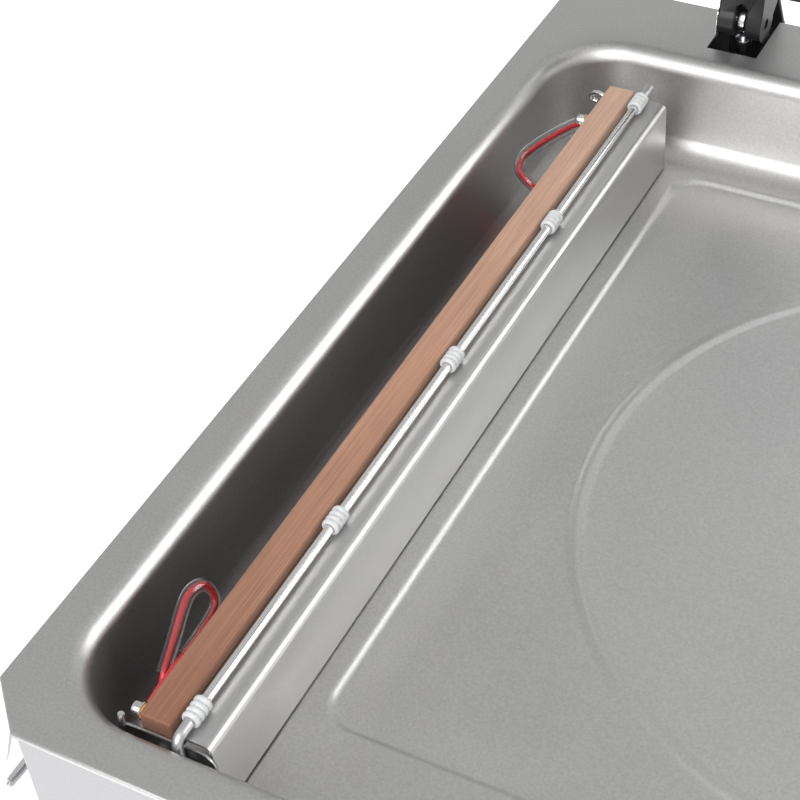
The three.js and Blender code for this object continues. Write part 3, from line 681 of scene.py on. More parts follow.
def side_parts(sg):
    sd = "right" if sg > 0 else "left"
    bar = "seal_bar_" + sd
    clamp = "bag_clamp_" + sd

    def X(p):
        return (sg * p[0], p[1], p[2])
    # cloth: a thin shell over the bar, open below, corners folded round
    y0, y1 = BY0, BY0 + BL
    loops = []
    er = 1.0

    def cl(d, z, r):
        return rr(BX - BWH + d, BX + BWH - d, y0 + d, y1 - d, r, z, k=6, ms=60)
    outer = [(0, 279.0, 1.1), (0, 281, 1.1), (0, 288, 1.1), (0, 293.5, 1.1)]
    for a in (0, 22, 45, 67, 90):
        s, c = math.sin(math.radians(a)), math.cos(math.radians(a))
        outer.append((er * (1 - c), 295 + er * s, 1.1 - 0.8 * (1 - c)))
    outer.append((1.6, 296.0, 0.25))
    inner = [(0.5, 279.0, 0.7), (0.5, 294.6, 0.7), (1.2, 295.4, 0.2)]
    for d, z, r in reversed(inner):
        loops.append(cl(d, z, max(r, 0.1)))
    for d, z, r in outer:
        loops.append(cl(d, z, max(r, 0.1)))
    n = len(loops[0])
    v = []
    for li, l in enumerate(loops):
        for p in l:
            x, y, z = p
            # the cloth is not quite flat along its hem
            if z < 289:
                z += 0.25 * math.sin(y * 0.06 + 1.0) * math.sin(y * 0.013)
            v.append(X((x, y, z)))
    f = loft_faces(n, len(loops))
    mesh("cloth_over_bar_" + sd, v, fix(v, f), ptfe_m, bar, sharp=60, replaces=("ptfe_cover_" + sd,), slot="ptfe")
    # woven edge of the cloth where it is trimmed at both ends
    for tag, y in (("front", y0), ("rear", y1)):
        yy = y + (0.02 if tag == "front" else -0.02)
        path = [(BX + t * (BWH - 0.4), yy + (0.15 if tag == "front" else -0.15), 278.9 + 0.25 * math.sin(t * 9 + 1)) for t in [i / 12 * 2 - 1 for i in range(13)]]
        tube("cloth_fringe_%s_%s" % (tag, sd), path, 0.33, fringe_m, bar, n=8, mirror=sg < 0, slot="ptfe")
        path = [(BX + BWH + 0.05, y + (0.4 if tag == "front" else -0.4), z) for z in (279, 281, 284, 287.5)]
        tube("cloth_selvedge_%s_%s" % (tag, sd), path, 0.22, fringe_m, bar, n=8, mirror=sg < 0, slot="ptfe")
    paint("seal_bar_core_" + sd, alu_m)

    # terminals on the wall side of the bar: a bolt, washers and an eyelet for the lead
    def terminal(tag, y, z):
        bx = BX + BWH
        ax = (sg, 0, 0)
        c = lambda d: (sg * (bx + d), y, z)
        lathe("terminal_spacer_%s_%s" % (tag, sd), [(0, 0.15), (3.0, 0.15), (3.0, 0.9), (0, 0.9)], c(0), ax, fringe_m, bar, n=24, slot="ptfe")
        lathe("terminal_eyelet_%s_%s" % (tag, sd), [(1.4, 1.0), (3.4, 1.0), (3.4, 1.7), (1.4, 1.7)], c(0), ax, zinc_m, bar, n=28, closed=True, slot="bright_steel")
        lathe("terminal_bolt_%s_%s" % (tag, sd), [(0, 0.2), (1.35, 0.2), (1.35, 1.75), (2.6, 1.8), (2.75, 2.2), (2.75, 4.9), (2.45, 5.3), (1.5, 5.3), (1.3, 4.0), (0, 4.0)], c(0), ax, screw_m, bar, n=28, slot="bright_steel")
    terminal("front", -229, 293 - 1.2)
    terminal("rear", 160, 293 - 1.2)
    # lifting hooks: an open ring at the rear and a stud through the end plate at the front
    hook = spline([(BX + 6.9, 182.2, 291.6), (BX + 10.2, 182.9, 292.6), (BX + 13.6, 184.0, 291.6), (BX + 15.6, 184.5, 289.0), (BX + 14.8, 184.7, 286.9), (BX + 12.2, 184.5, 286.3)], 6)
    tube("rear_hook_" + sd, hook, 1.25, zinc_m, bar, n=16, mirror=sg < 0, slot="bright_steel")

    # bar cover: folded sheet, soft fold along the top
    cx, t, cz, r = 204.9, 1.2, 292.0, 3.4
    sec = [(cx, FLOOR + 1)] + [(cx + r - r * math.cos(math.radians(a)), cz - r + r * math.sin(math.radians(a))) for a in range(0, 91, 10)] + [(220.6, cz), (220.6, cz - t)]
    sec += [(cx + r - (r - t) * math.cos(math.radians(a)), cz - r + (r - t) * math.sin(math.radians(a))) for a in range(90, -1, -15)]
    sec += [(cx + t, FLOOR + 1 + t + 0.6), (cx + t + 0.2, FLOOR + 1 + t + 0.15), (cx + t + 0.6, FLOOR + 1 + t), (cx + 10, FLOOR + 1 + t), (cx + 10, FLOOR + 1)]
    v, f = extrude_data([(sg * x, z) for x, z in sec], "Y", y0, y1)
    o = mesh("bar_side_cover_" + sd, v, fix(v, f), cover_m, sharp=30)
    cv, cf = extrude_data([(y0 - 1, FLOOR - 1), (y0 + 10, FLOOR - 1), (y0 + 10, FLOOR + 2), (y0 + 6, FLOOR + 3), (y0 + 3, FLOOR + 5.5), (y0 + 1, FLOOR + 9), (y0 - 1, FLOOR + 11)], "X", sg * (cx - 2), sg * (cx + 14))
    c1 = mesh("cutter", cv, fix(cv, cf), cover_m, smooth=False)
    boolean(o, [c1], "DIFFERENCE")
    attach(o, "cabinet")
    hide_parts("bar_cover_" + sd)

    # end plate with its stud and a nut
    px0, px1, pz = 203.5, 244.5, B - 8
    pl = [(px0 + 1, pz - 18), (px1 - 1, pz - 18)] + arc(px1 - 5, pz - 5, 5, 0, 90, 10) + arc(px0 + 5, pz - 5, 5, 90, 180, 10)
    o = extrude("rod_carrier_plate_" + sd, [(sg * x, z) for x, z in pl], "Y", y0 - 1.6, y0 - 0.4, plate_m, None, slot="deck_steel", replaces=("rod_end_plate_" + sd,))
    bevel(o, 0.3, 2)
    bake(o)
    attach(o, "cabinet")
    lathe("plate_stud_" + sd, [(0, -3.0), (1.3, -3.0), (1.5, -2.7), (1.5, 6.6), (1.2, 7.2), (0, 7.3)], (sg * 241.0, y0 - 3.0, pz), (0, 0.12, 1), zinc_m, "cabinet", n=20, slot="bright_steel")
    hexnut("plate_nut_" + sd, sg * 228.1, y0 - 1.7, pz - 9.5, (0, -1, 0), "cabinet", 3.2, 2.2)

    # clamp rod: bright straight run, its turned-down end dull
    RX, RZ = 216, 296.1
    straight = [(RX, y, RZ) for y in (192, 190, 100, 0, -100, -200, -217.5)]
    v, f = tube_data(straight, [1.75, 2.0, 2.0, 2.0, 2.0, 2.0, 2.0], 32)
    v = [X(p) for p in v]
    mesh("clamp_rod_run_" + sd, v, fix(v, f), bright_m, clamp, replaces=("clamp_rod_" + sd,), slot="bright_steel")
    bend = [(RX, -217.2, RZ), (RX, -225, RZ), (RX, -233.5, RZ)] + [(RX, -233.5 - 4 * math.sin(math.radians(a)), RZ - 4 * (1 - math.cos(math.radians(a)))) for a in range(10, 91, 10)] + [(RX, -237.5, RZ - 10), (RX, -237.5, RZ - 14.6), (RX, -237.5, RZ - 15)]
    v, f = tube_data(bend, [2.12] * (len(bend) - 1) + [1.8], 28)
    v = [X(p) for p in v]
    mesh("clamp_rod_turned_end_" + sd, v, fix(v, f), matte_rod_m, clamp, slot="bright_steel")
    v, f = tube_data([(RX, 191.9, RZ), (RX, 187, RZ), (RX, 182.6, RZ)], 2.1, 28)
    v = [X(p) for p in v]
    mesh("clamp_rod_tip_" + sd, v, fix(v, f), matte_rod_m, clamp, slot="bright_steel")
    for i in range(5):
        L, prof = 10.2, []
        prof.append((2.1, -L / 2 + 0.2))
        for k in range(4):
            a = -L / 2 + k * L / 4
            for u in range(9):
                w = u / 8
                prof.append((3.05 + 0.7 * math.sin(math.pi * w) ** 0.6, a + w * L / 4))
        prof.append((2.1, L / 2 - 0.2))
        lathe("rod_bellows_%d_%s" % (i + 1, sd), prof, (sg * RX, -223.5 + 100.2 * i, RZ), (0, 1, 0), silicone_m, clamp, n=40, closed=True, sharp=80,
              replaces=("rod_sleeve_%d_%s" % (i + 1, sd),), slot="silicone")

    # heater leads: a red wire inside loose clear tubing, clipped between the bar and the chamber
    near = [(237.2, -224.5, B - 6.5), (239.6, -210, B - 9.5), (240.6, -190, B - 11.5), (241.6, -177, B - 11.5), (243.5, -170.7, B - 11.2), (245.5, -169.2, B - 6.7), (247, -171.6, B - 1.6),
            (248, -176.8, B + 0.3), (248, -182.8, B - 1.3), (245.5, -196.9, B - 8.3), (243, -208.2, B - 12.9), (241.6, -214.5, B - 22), (241.2, -216, B - 41.6)]
    far = [(237.6, 160, B - 6), (242, 156, B - 6.5), (250, 145, B - 9), (256, 133, B - 12), (254.5, 123.5, B - 13.5), (248, 118.6, B - 15), (242.6, 118.6, B - 20), (240.8, 119, B - 30), (240.6, 119, B - 41.6)]
    for tag, pts in (("front", near), ("rear", far)):
        path = [X(p) for p in spline(pts, 9)]
        node = "heater_lead_%s_%s" % (tag, sd)
        v, f = tube_data(path, 1.35, 16)
        w = mesh("lead_wire_%s_%s" % (tag, sd), v, fix(v, f), wire_m, None, replaces=(node,), slot="lead")
        a, b, tr, fl = (14, 90, 2.9, 0.75) if tag == "front" else (6, 52, 4.0, 0.6)
        v, f = tube_data(path[a:b], tr, 24, flat=fl, hollow=0.86)
        s = mesh("lead_tubing_%s_%s" % (tag, sd), v, fix(v, f), tube_m, None, slot="silicone")
        for o in (w, s):
            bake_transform(o)
    paint("lift_bladder_" + sd, bladder_m)


for s in (1, -1):
    side_parts(s)

# ------------------------------------------------------------------ lid, drawn closed and turned to its open stop
HY, HZ, HX, OPEN = 247, 309, 188, math.radians(75)


def up(p):
    y, z = p[1] - HY, p[2] - HZ
    return (p[0], HY + y * math.cos(OPEN) + z * math.sin(OPEN), HZ - y * math.sin(OPEN) + z * math.cos(OPEN))


ZU, LT = 306, 15


def lid_parts():
    loops = []
    def l(d, z):
        return rr(-281 + d, 281 - d, -255 + d, 224 - d, 14 - d, z, k=10, ms=2)
    for d, z in ((1.6, ZU), (0.5, ZU + 0.45), (0, ZU + 1.5), (0, ZU + LT - 3.2), (0.9, ZU + LT - 1.4), (2.2, ZU + LT - 0.4), (4, ZU + LT)):
        loops.append(l(d, z))
    v = [up(p) for lp in loops for p in lp]
    mesh("lid_pane", v, fix(v, loft_faces(len(loops[0]), len(loops))), acrylic_m, "lid", sharp=40, replaces=("lid_panel",), slot="acrylic")
    # gasket: hollow-looking lip section all round
    gx, gy0, gy1 = 276, -248.3, 220.2
    def g(d, z):
        return rr(-gx + d, gx - d, gy0 + d, gy1 - d, 40 - d, z, k=18, ms=8)
    sec = [(0.3, ZU - 0.3), (6.7, ZU - 0.3), (7, ZU - 0.7), (7, ZU - 1.6), (6.2, ZU - 2.2), (6.0, ZU - 3.4), (5.2, ZU - 4.6), (3.9, DECK + 0.5), (3.1, DECK + 0.4), (1.8, DECK + 0.9), (1.0, ZU - 3.6), (0.8, ZU - 2.2), (0, ZU - 1.6), (0, ZU - 0.7)]
    loops = [g(d, z) for d, z in sec]
    v = [up(p) for lp in loops for p in lp]
    mesh("lid_seal_ring", v, fix(v, loft_faces(len(loops[0]), len(loops), ring=True)), rubber_m, "lid", sharp=40, replaces=("lid_gasket",), slot="rubber")
    for sg in (1, -1):
        sd = "right" if sg > 0 else "left"
        x0, x1 = sorted((sg * 219.1, sg * 237.1))
        o = rbox("counter_pad_" + sd, x0, x1, -226, 180, ZU - 4.3, ZU - 0.3, 1.2, counter_m, None, er=1.2, turn=up, replaces=("counter_bar_" + sd,), slot="counter_silicone")
        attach(o, "lid")
        # ribbed face of the counter pad
        for k in range(3):
            x = sg * 228.1 + (k - 1) * 4.2
            tb = [up((x, y, ZU - 3.95)) for y in (-224, -100, 50, 178)]
            tube("counter_rib_%d_%s" % (k + 1, sd), tb, 0.45, counter_m, "lid", n=10, slot="counter_silicone")
        # hinge arm: two lobes about the pin, pad on the pane
        y, z, top = HY, HZ, ZU + LT
        ol = arc(y, z, 9, -150, 75, 40) + [(y - 4, top + 11), (152, top + 8.2), (148.5, top + 7), (146.6, top + 4), (146, top + 0.3), (225.5, top + 0.3), (225.5, z + 2)]
        v, f = extrude_data(ol, "X", sg * HX - 11.2, sg * HX + 11.2)
        arm = mesh("hinge_fork_" + sd, v, f, black_m, sharp=30)
        bv, bf = lathe_data([(0, -20), (3.3, -20), (3.3, 20), (0, 20)], (sg * HX, y, z), (1, 0, 0), 32)
        bore = mesh("cutter", bv, bf, black_m, smooth=False)
        sv, sf = extrude_data([(sg * HX - 3, y - 9.4), (sg * HX + 3, y - 9.4), (sg * HX + 3, y + 30), (sg * HX - 3, y + 30)], "Z", z - 20, z + 24)
        slot = mesh("cutter", sv, fix(sv, sf), black_m, smooth=False)
        # the slot's blind end is round
        rv, rf = lathe_data([(0, -20), (3, -20), (3, 24), (0, 24)], (sg * HX, y - 9.4, z), (0, 0, 1), 32)
        rnd = mesh("cutter", rv, rf, black_m, smooth=False)
        boolean(arm, [slot, rnd, bore])
        bevel(arm, 0.9, 3, 40)
        bake(arm)
        me = arm.data
        for vv in me.vertices:
            x, yy, zz = vv.co.x * 1000, vv.co.y * 1000 - SH, vv.co.z * 1000
            vv.co = P(*up((x, yy, zz)))
        me.update()
        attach(arm, "lid")
        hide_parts("hinge_arm_" + sd)
        for i, (yy, xx) in enumerate(((206, 0), (168, 0))):
            cc = up((sg * HX + xx, yy, top + 9.4 if yy > 190 else top + 8.5))
            dd = Vector(up((0, 0, 1))) - Vector(up((0, 0, 0)))
            screw("hinge_screw_%d_%s" % (i + 1, sd), *cc, dd, "lid", r=4.2, h=2.2)
    # handle on the front edge: bridge with soft corners
    y0, top = -255, ZU + LT
    prof = [(y0 + 4, top + 0.3), (y0 + 26, top + 0.3)] + [(y0 + 26, top + 6), (y0 + 24.5, top + 14)] + arc(y0 + 18, top + 19, 5, 0, 90, 6) + arc(y0 + 12, top + 19, 5, 90, 180, 6) + [(y0 + 5.5, top + 14), (y0 + 4, top + 6)]
    v, f = extrude_data(prof, "X", -80, 80)
    h = mesh("lid_grab_handle", v, fix(v, f), switch_m, sharp=30)
    boolean(h, [cutter(-66, 66, y0, y0 + 40, top - 1, top + 13)])
    bevel(h, 1.4, 3, 40)
    bake(h)
    for vv in h.data.vertices:
        vv.co = P(*up((vv.co.x * 1000, vv.co.y * 1000 - SH, vv.co.z * 1000)))
    h.data.update()
    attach(h, "lid")
    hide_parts("lid_handle")
    dd = Vector(up((0, 0, 1))) - Vector(up((0, 0, 0)))
    for i, x in enumerate((-73, 73)):
        cc = up((x, y0 + 15, ZU - 0.0))
        screw("handle_screw_%d" % (i + 1), *cc, -dd, "lid", r=3.6, h=1.8)


lid_parts()


# ------------------------------------------------------------------ hinge posts, pins, springs and stops
def hinge_hardware(sg):
    sd = "right" if sg > 0 else "left"
    y, z, x = HY, HZ, sg * HX
    # pin, flush inside the fork on the inner side and carrying the spring outside
    lathe("pivot_pin_" + sd, [(0, -10.4), (2.4, -10.35), (2.9, -10.0), (3.0, -9.4), (3.0, 13.0), (2.9, 13.6), (2.3, 13.95), (0, 14)], (x, y, z), (sg, 0, 0), bright_m, "cabinet", n=32, replaces=("hinge_pin_" + sd,), slot="bright_steel")
    # eye bolt: forged ring on a plain shank standing in a collar
    lathe("eye_ring_" + sd, [(3.35, -2.0), (5.5, -2.2), (6.15, -1.8), (6.4, -1.0), (6.4, 1.0), (6.15, 1.8), (5.5, 2.2), (3.35, 2.0)], (x, y, z), (1, 0, 0), zinc_m, "cabinet", n=40, closed=True, sharp=60, replaces=("hinge_eye_bolt_" + sd,), slot="bright_steel")
    lathe("eye_shank_" + sd, [(0, -49), (1.9, -49), (2.2, -48.6), (2.2, -6.5), (2.35, -5.6), (0, -5.3)], (x, y, z), (0, 0, 1), zinc_m, "cabinet", n=28, sharp=60, slot="bright_steel")
    lathe("eye_collar_" + sd, [(2.22, 290), (4.1, 290), (4.3, 290.4), (4.3, 297.6), (4.0, 298.3), (3.4, 298.5), (2.22, 298.5)], (x, y, 0), (0, 0, 1), screw_m, "cabinet", n=36, closed=True, slot="bright_steel")
    # torsion spring on the pin's outer end, its leg hanging beside the fork
    pts = []
    for i in range(49):
        a = 2 * math.pi * i / 24
        pts.append((x + sg * (12.0 + 1.1 * i / 48), y - 4.0 * math.cos(a), z - 4.0 * math.sin(a)))
    pts += [(x + sg * 13.1, y - 4.3, z - 3.5), (x + sg * 13.1, y - 4.6, z - 8.5)]
    tube("spring_coil_" + sd, pts, 0.55, bright_m, "cabinet", n=12, replaces=("lid_spring_" + sd,), slot="bright_steel")
    # stop bracket: folded plate, tapered, with two screws
    sy = 263.8 + 0.3
    H = DECK
    out = [(sy, H - 60), (sy + 2.4, H - 60), (sy + 2.4, H - 14), (sy + 7.6, H - 8), (sy + 7.6, H + 24), (sy + 5.2, H + 24), (sy + 5.2, H - 7), (sy, H - 12.6)]
    v, f = extrude_data(out, "X", x - 13, x + 13)
    br = mesh("stop_bracket_" + sd, v, fix(v, f), black_m, sharp=30)
    cs = []
    for s in (1, -1):
        tri = [(x + s * 14, H - 8), (x + s * 14, H + 26), (x + s * 6, H + 26)]
        cv, cf = extrude_data(tri, "Y", sy + 3, sy + 10)
        cs.append(mesh("cutter", cv, fix(cv, cf), black_m, smooth=False))
    boolean(br, cs)
    bevel(br, 0.5, 2, 40)
    bake(br)
    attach(br, "cabinet")
    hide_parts("hinge_stop_" + sd)
    for i, zz in enumerate((H - 50, H - 30)):
        screw("stop_screw_%d_%s" % (i + 1, sd), x, sy + 2.4, zz, (0, 1, 0), "cabinet", r=3.8, h=2.0)
    # rubber buffer on the stop
    lathe("stop_buffer_" + sd, [(0, 0), (4.2, 0), (4.6, 0.6), (4.4, 2.0), (3.2, 2.6), (0, 2.7)], (x, sy + 5.1, H + 12), (0, -1, 0), rubber_m, "cabinet", n=32, slot="rubber")


for s in (1, -1):
    hinge_hardware(s)
paint("hinge_rail", plate_m)

# ------------------------------------------------------------------ body
bx, by0, by1, ch = 286.8, -260.8, 263.8, 19
ZT, Z0 = 297.7, 27


def panel_strip(name, plan, section, m, flipx=False):
    """Sheet bent along a plan line: section is (inset, z) pairs, plan is (x, y) points run so that outside is on the right."""
    n = len(plan)
    nrm = []
    for i in range(n):
        d = []
        if i > 0:
            a = (Vector(plan[i]) - Vector(plan[i - 1])).normalized()
            d.append(Vector((a.y, -a.x)))
        if i < n - 1:
            a = (Vector(plan[i + 1]) - Vector(plan[i])).normalized()
            d.append(Vector((a.y, -a.x)))
        if len(d) == 2:
            b = (d[0] + d[1]).normalized()
            nrm.append(b / max(b.dot(d[0]), 0.3))
        else:
            nrm.append(d[0])
    v = []
    for i in range(n):
        for ins, z in section:
            p = Vector(plan[i]) - nrm[i] * ins
            v.append((p.x, p.y, z))
    return v, loft_faces(len(section), n)


def corner(p, a, b, r, k=6):
    """Rounds the corner at p between directions to a and b."""
    p, a, b = Vector(p), Vector(a), Vector(b)
    u, w = (a - p).normalized(), (b - p).normalized()
    half = math.acos(max(-1, min(1, u.dot(w)))) / 2
    t = r / math.tan(half)
    s, e = p + u * t, p + w * t
    c = p + (u + w).normalized() * (r / math.sin(half))
    a0 = math.atan2(s.y - c.y, s.x - c.x)
    a1 = math.atan2(e.y - c.y, e.x - c.x)
    da = (a1 - a0 + math.pi) % (2 * math.pi) - math.pi
    return [(c.x + r * math.cos(a0 + da * i / k), c.y + r * math.sin(a0 + da * i / k)) for i in range(k + 1)]


def front():
    pts = [(-bx, by0 + ch), (-bx + ch, by0), (bx - ch, by0), (bx, by0 + ch)]
    plan = [pts[0]] + corner(pts[1], pts[0], pts[2], 2.5) + corner(pts[2], pts[1], pts[3], 2.5) + [pts[3]]
    t, r = 1.2, 3.0
    sec = [(0, Z0)]
    for a in range(0, 91, 10):
        sec.append((r - r * math.cos(math.radians(a)), ZT - r + r * math.sin(math.radians(a))))
    sec += [(9.0, ZT), (9.0, ZT - t)]
    for a in range(90, -1, -15):
        sec.append((r - (r - t) * math.cos(math.radians(a)), ZT - r + (r - t) * math.sin(math.radians(a))))
    sec += [(t, Z0)]
    v, f = panel_strip("front", plan, sec, panel_m)
    o = mesh("front_fascia", v, fix(v, f), panel_m, sharp=30)
    cs = [cutter(-120, 120, by0 - 1, by0 + 4, 150, 238), cutter(-228.4, -199.6, by0 - 1, by0 + 4, 184.6, 205.4)]
    for x, z, r2 in ((190, 194, 26), (-170, 195, 11.4)):
        cv, cf = lathe_data([(0, -1), (r2, -1), (r2, 4), (0, 4)], (x, by0, z), (0, 1, 0), 48)
        cs.append(mesh("cutter", cv, cf, panel_m, smooth=False))
    boolean(o, cs)
    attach(o, "cabinet")
    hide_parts("front_panel")
    for i, (x, z) in enumerate(((-255, 40), (255, 40), (0, 40))):
        screw("front_screw_%d" % (i + 1), x, by0, z, (0, -1, 0), "cabinet", r=3.4, h=1.4)


front()


def overlay():
    y = by0 - 0.9
    o = rbox("control_film", -119.6, 119.6, 150.4, 237.6, 0, 3.9, 7, overlay_m, None, k=10, er=0.35)
    for vv in o.data.vertices:
        x, u, w = vv.co.x * 1000, vv.co.y * 1000 - SH, vv.co.z * 1000
        vv.co = P(x, y + w, u)
    o.data.flip_normals()
    o.data.update()
    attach(o, "cabinet")
    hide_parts("control_overlay")

    def plate(name, x0, x1, z0, z1, r, proud, depth, m, **kw):
        p = rbox(name, x0, x1, z0, z1, 0, proud + depth, r, m, None, k=8, er=min(0.3, proud * 0.9))
        for vv in p.data.vertices:
            x, u, w = vv.co.x * 1000, vv.co.y * 1000 - SH, vv.co.z * 1000
            vv.co = P(x, y - proud + w, u)
        p.data.flip_normals()
        p.data.update()
        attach(p, "cabinet")
        return p
    plate("display_window", -104, -36, 186, 224, 3, 0.35, 0.5, glassy_m)
    # one row of three generic seven-part figures
    seg = {"0": "abcdef", "2": "abged", "5": "afgcd", "3": "abgcd"}
    w, h, t = 8.5, 15, 1.7
    geo = {"a": (-w / 2 + t, w / 2 - t, h / 2 - t, h / 2), "d": (-w / 2 + t, w / 2 - t, -h / 2, -h / 2 + t), "g": (-w / 2 + t, w / 2 - t, -t / 2, t / 2),
           "f": (-w / 2, -w / 2 + t, t / 2, h / 2 - t / 2), "b": (w / 2 - t, w / 2, t / 2, h / 2 - t / 2), "e": (-w / 2, -w / 2 + t, -h / 2 + t / 2, -t / 2), "c": (w / 2 - t, w / 2, -h / 2 + t / 2, -t / 2)}
    for k, (c, x) in enumerate((("2", -88), ("5", -70), ("0", -52))):
        v, f = [], []
        for s in seg[c]:
            a, b, z0, z1 = geo[s]
            bv, bf = box_data(x + a, x + b, y - 0.5, y - 0.3, 205 + z0, 205 + z1)
            f += [tuple(i + len(v) for i in q) for q in bf]
            v += bv
        mesh("display_figure_%d" % (k + 1), v, f, figure_m, "cabinet", smooth=False, slot="overlay")
    n = 0
    for r_, z in enumerate((213, 176)):
        for c_ in range(3):
            n += 1
            x = 0 + c_ * 40 - 4
            plate("key_%d" % n, x - 13, x + 13, z - 9, z + 9, 4, 0.7, 0.4, key_m)
            if n in (1, 4):
                lathe("key_mark_%d" % n, [(0, 0), (3.2, 0), (3.2, 0.25), (0, 0.25)], (x, y - 0.68, z), (0, -1, 0), green_m if n == 1 else keylite_m, "cabinet", n=24, slot="overlay")
            else:
                ol = [(x - 3, z - 2.4), (x + 3, z - 2.4), (x, z + 3.2)] if n in (2, 5) else [(x - 3.4, z - 0.8), (x + 3.4, z - 0.8), (x + 3.4, z + 0.8), (x - 3.4, z + 0.8)]
                if n == 5:
                    ol = [(x - 3, z + 2.4), (x, z - 3.2), (x + 3, z + 2.4)]
                extrude("key_mark_%d" % n, ol, "Y", y - 0.95, y - 0.6, keylite_m, "cabinet", slot="overlay")
    for i in range(4):
        lathe("status_lamp_%d" % (i + 1), [(0, 0.0), (1.9, 0), (1.9, 0.5), (1.4, 1.0), (0, 1.2)], (-98 + i * 19, y + 0.2, 172), (0, -1, 0), lamp_on_m if i == 0 else lamp_off_m, "cabinet", n=24, slot="overlay")
        extrude("status_bar_%d" % (i + 1), [(-103 + i * 19, 163), (-93 + i * 19, 163), (-93 + i * 19, 164.2), (-103 + i * 19, 164.2)], "Y", y - 0.12, y + 0.2, keylite_m, "cabinet", slot="overlay")


def emissive(name, c, e):
    n = Net(name)
    f = n.noise(900, detail=2)
    n.set(color=n.ramp(f, [(0.3, tuple(v * 0.9 for v in c)), (0.7, c)]), rough=0.3, emit_color=(*c, 1), emit=e)
    return n.m


glassy_m = plastic("display_glass", (0.012, 0.014, 0.016), 0.10, 2600, 0.002, 0.1, coat=0.6)
figure_m = emissive("display_red", (0.85, 0.05, 0.03), 1.6)
lamp_on_m = emissive("lamp_green", (0.05, 0.7, 0.15), 1.2)
lamp_off_m = emissive("lamp_off", (0.20, 0.22, 0.20), 0.0)
overlay()


def gauge():
    x, y, z = 190, by0 - 0.5, 194
    ax = (0, -1, 0)
    # case and rolled bezel
    lathe("gauge_case", [(0, -20), (25, -20), (25.6, -19.2), (25.6, -0.2), (28.0, -0.2), (28.5, 0.4), (28.5, 2.4), (28.1, 3.4), (27.0, 4.6), (25.4, 5.6), (24.2, 5.8), (23.7, 5.2), (23.7, 1.8), (0, 1.8)], (x, y, z), ax, bright_m, "cabinet", n=72, replaces=("vacuum_gauge",), slot="gauge_black")
    lathe("gauge_dial", [(0, 1.85), (23.5, 1.85), (23.5, 2.35), (0, 2.35)], (x, y, z), ax, white_m, "cabinet", n=64, slot="gauge_black")
    # scale: fine and long marks over 270 degrees, a red last stretch
    v, f = [], []
    for i in range(51):
        a = math.radians(225 - 270 * i / 50)
        long = i % 5 == 0
        r0, r1, w = (16.6 if long else 18.4), 20.6, (0.34 if long else 0.17)
        ca, sa = math.cos(a), math.sin(a)
        b = len(v)
        for rr_ in (r0, r1):
            for s in (-w, w):
                for yy in (2.3, 2.46):
                    v.append((x + rr_ * ca - s * sa, y - yy, z + rr_ * sa + s * ca))
        f += [tuple(b + q for q in t) for t in [(0, 1, 3, 2), (4, 6, 7, 5), (0, 4, 5, 1), (2, 3, 7, 6), (0, 2, 6, 4), (1, 5, 7, 3)]]
    mesh("gauge_scale", v, f, ink_m, "cabinet", smooth=False, slot="gauge_black")
    band = [(x + r_ * math.cos(math.radians(a)), z + r_ * math.sin(math.radians(a))) for r_, seq in ((21.6, range(225, 170, -5)), (20.9, range(175, 230, 5))) for a in seq]
    extrude("gauge_band", band, "Y", y - 2.46, y - 2.3, red_m, "cabinet", slot="gauge_black")
    # needle with its hub, at rest on the stop
    a = math.radians(-45)
    d, q = Vector((math.cos(a), math.sin(a))), Vector((-math.sin(a), math.cos(a)))
    ol = [Vector((x, z)) + d * u + q * w for u, w in ((-6, -0.9), (-6, 0.9), (0, 0.7), (19, 0.12), (19, -0.12), (0, -0.7))]
    extrude("gauge_needle", [tuple(p) for p in ol], "Y", y - 3.5, y - 3.1, ink_m, "cabinet", slot="gauge_black")
    lathe("gauge_hub", [(0, 2.3), (2.0, 2.3), (2.2, 3.7), (1.6, 4.1), (0, 4.2)], (x, y, z), ax, ink_m, "cabinet", n=28, slot="gauge_black")
    lathe("gauge_lens", [(0, 4.55), (23.6, 4.5), (23.6, 5.1), (18, 5.3), (0, 5.5)], (x, y, z), ax, glass_m, "cabinet", n=64, slot="acrylic")


gauge()


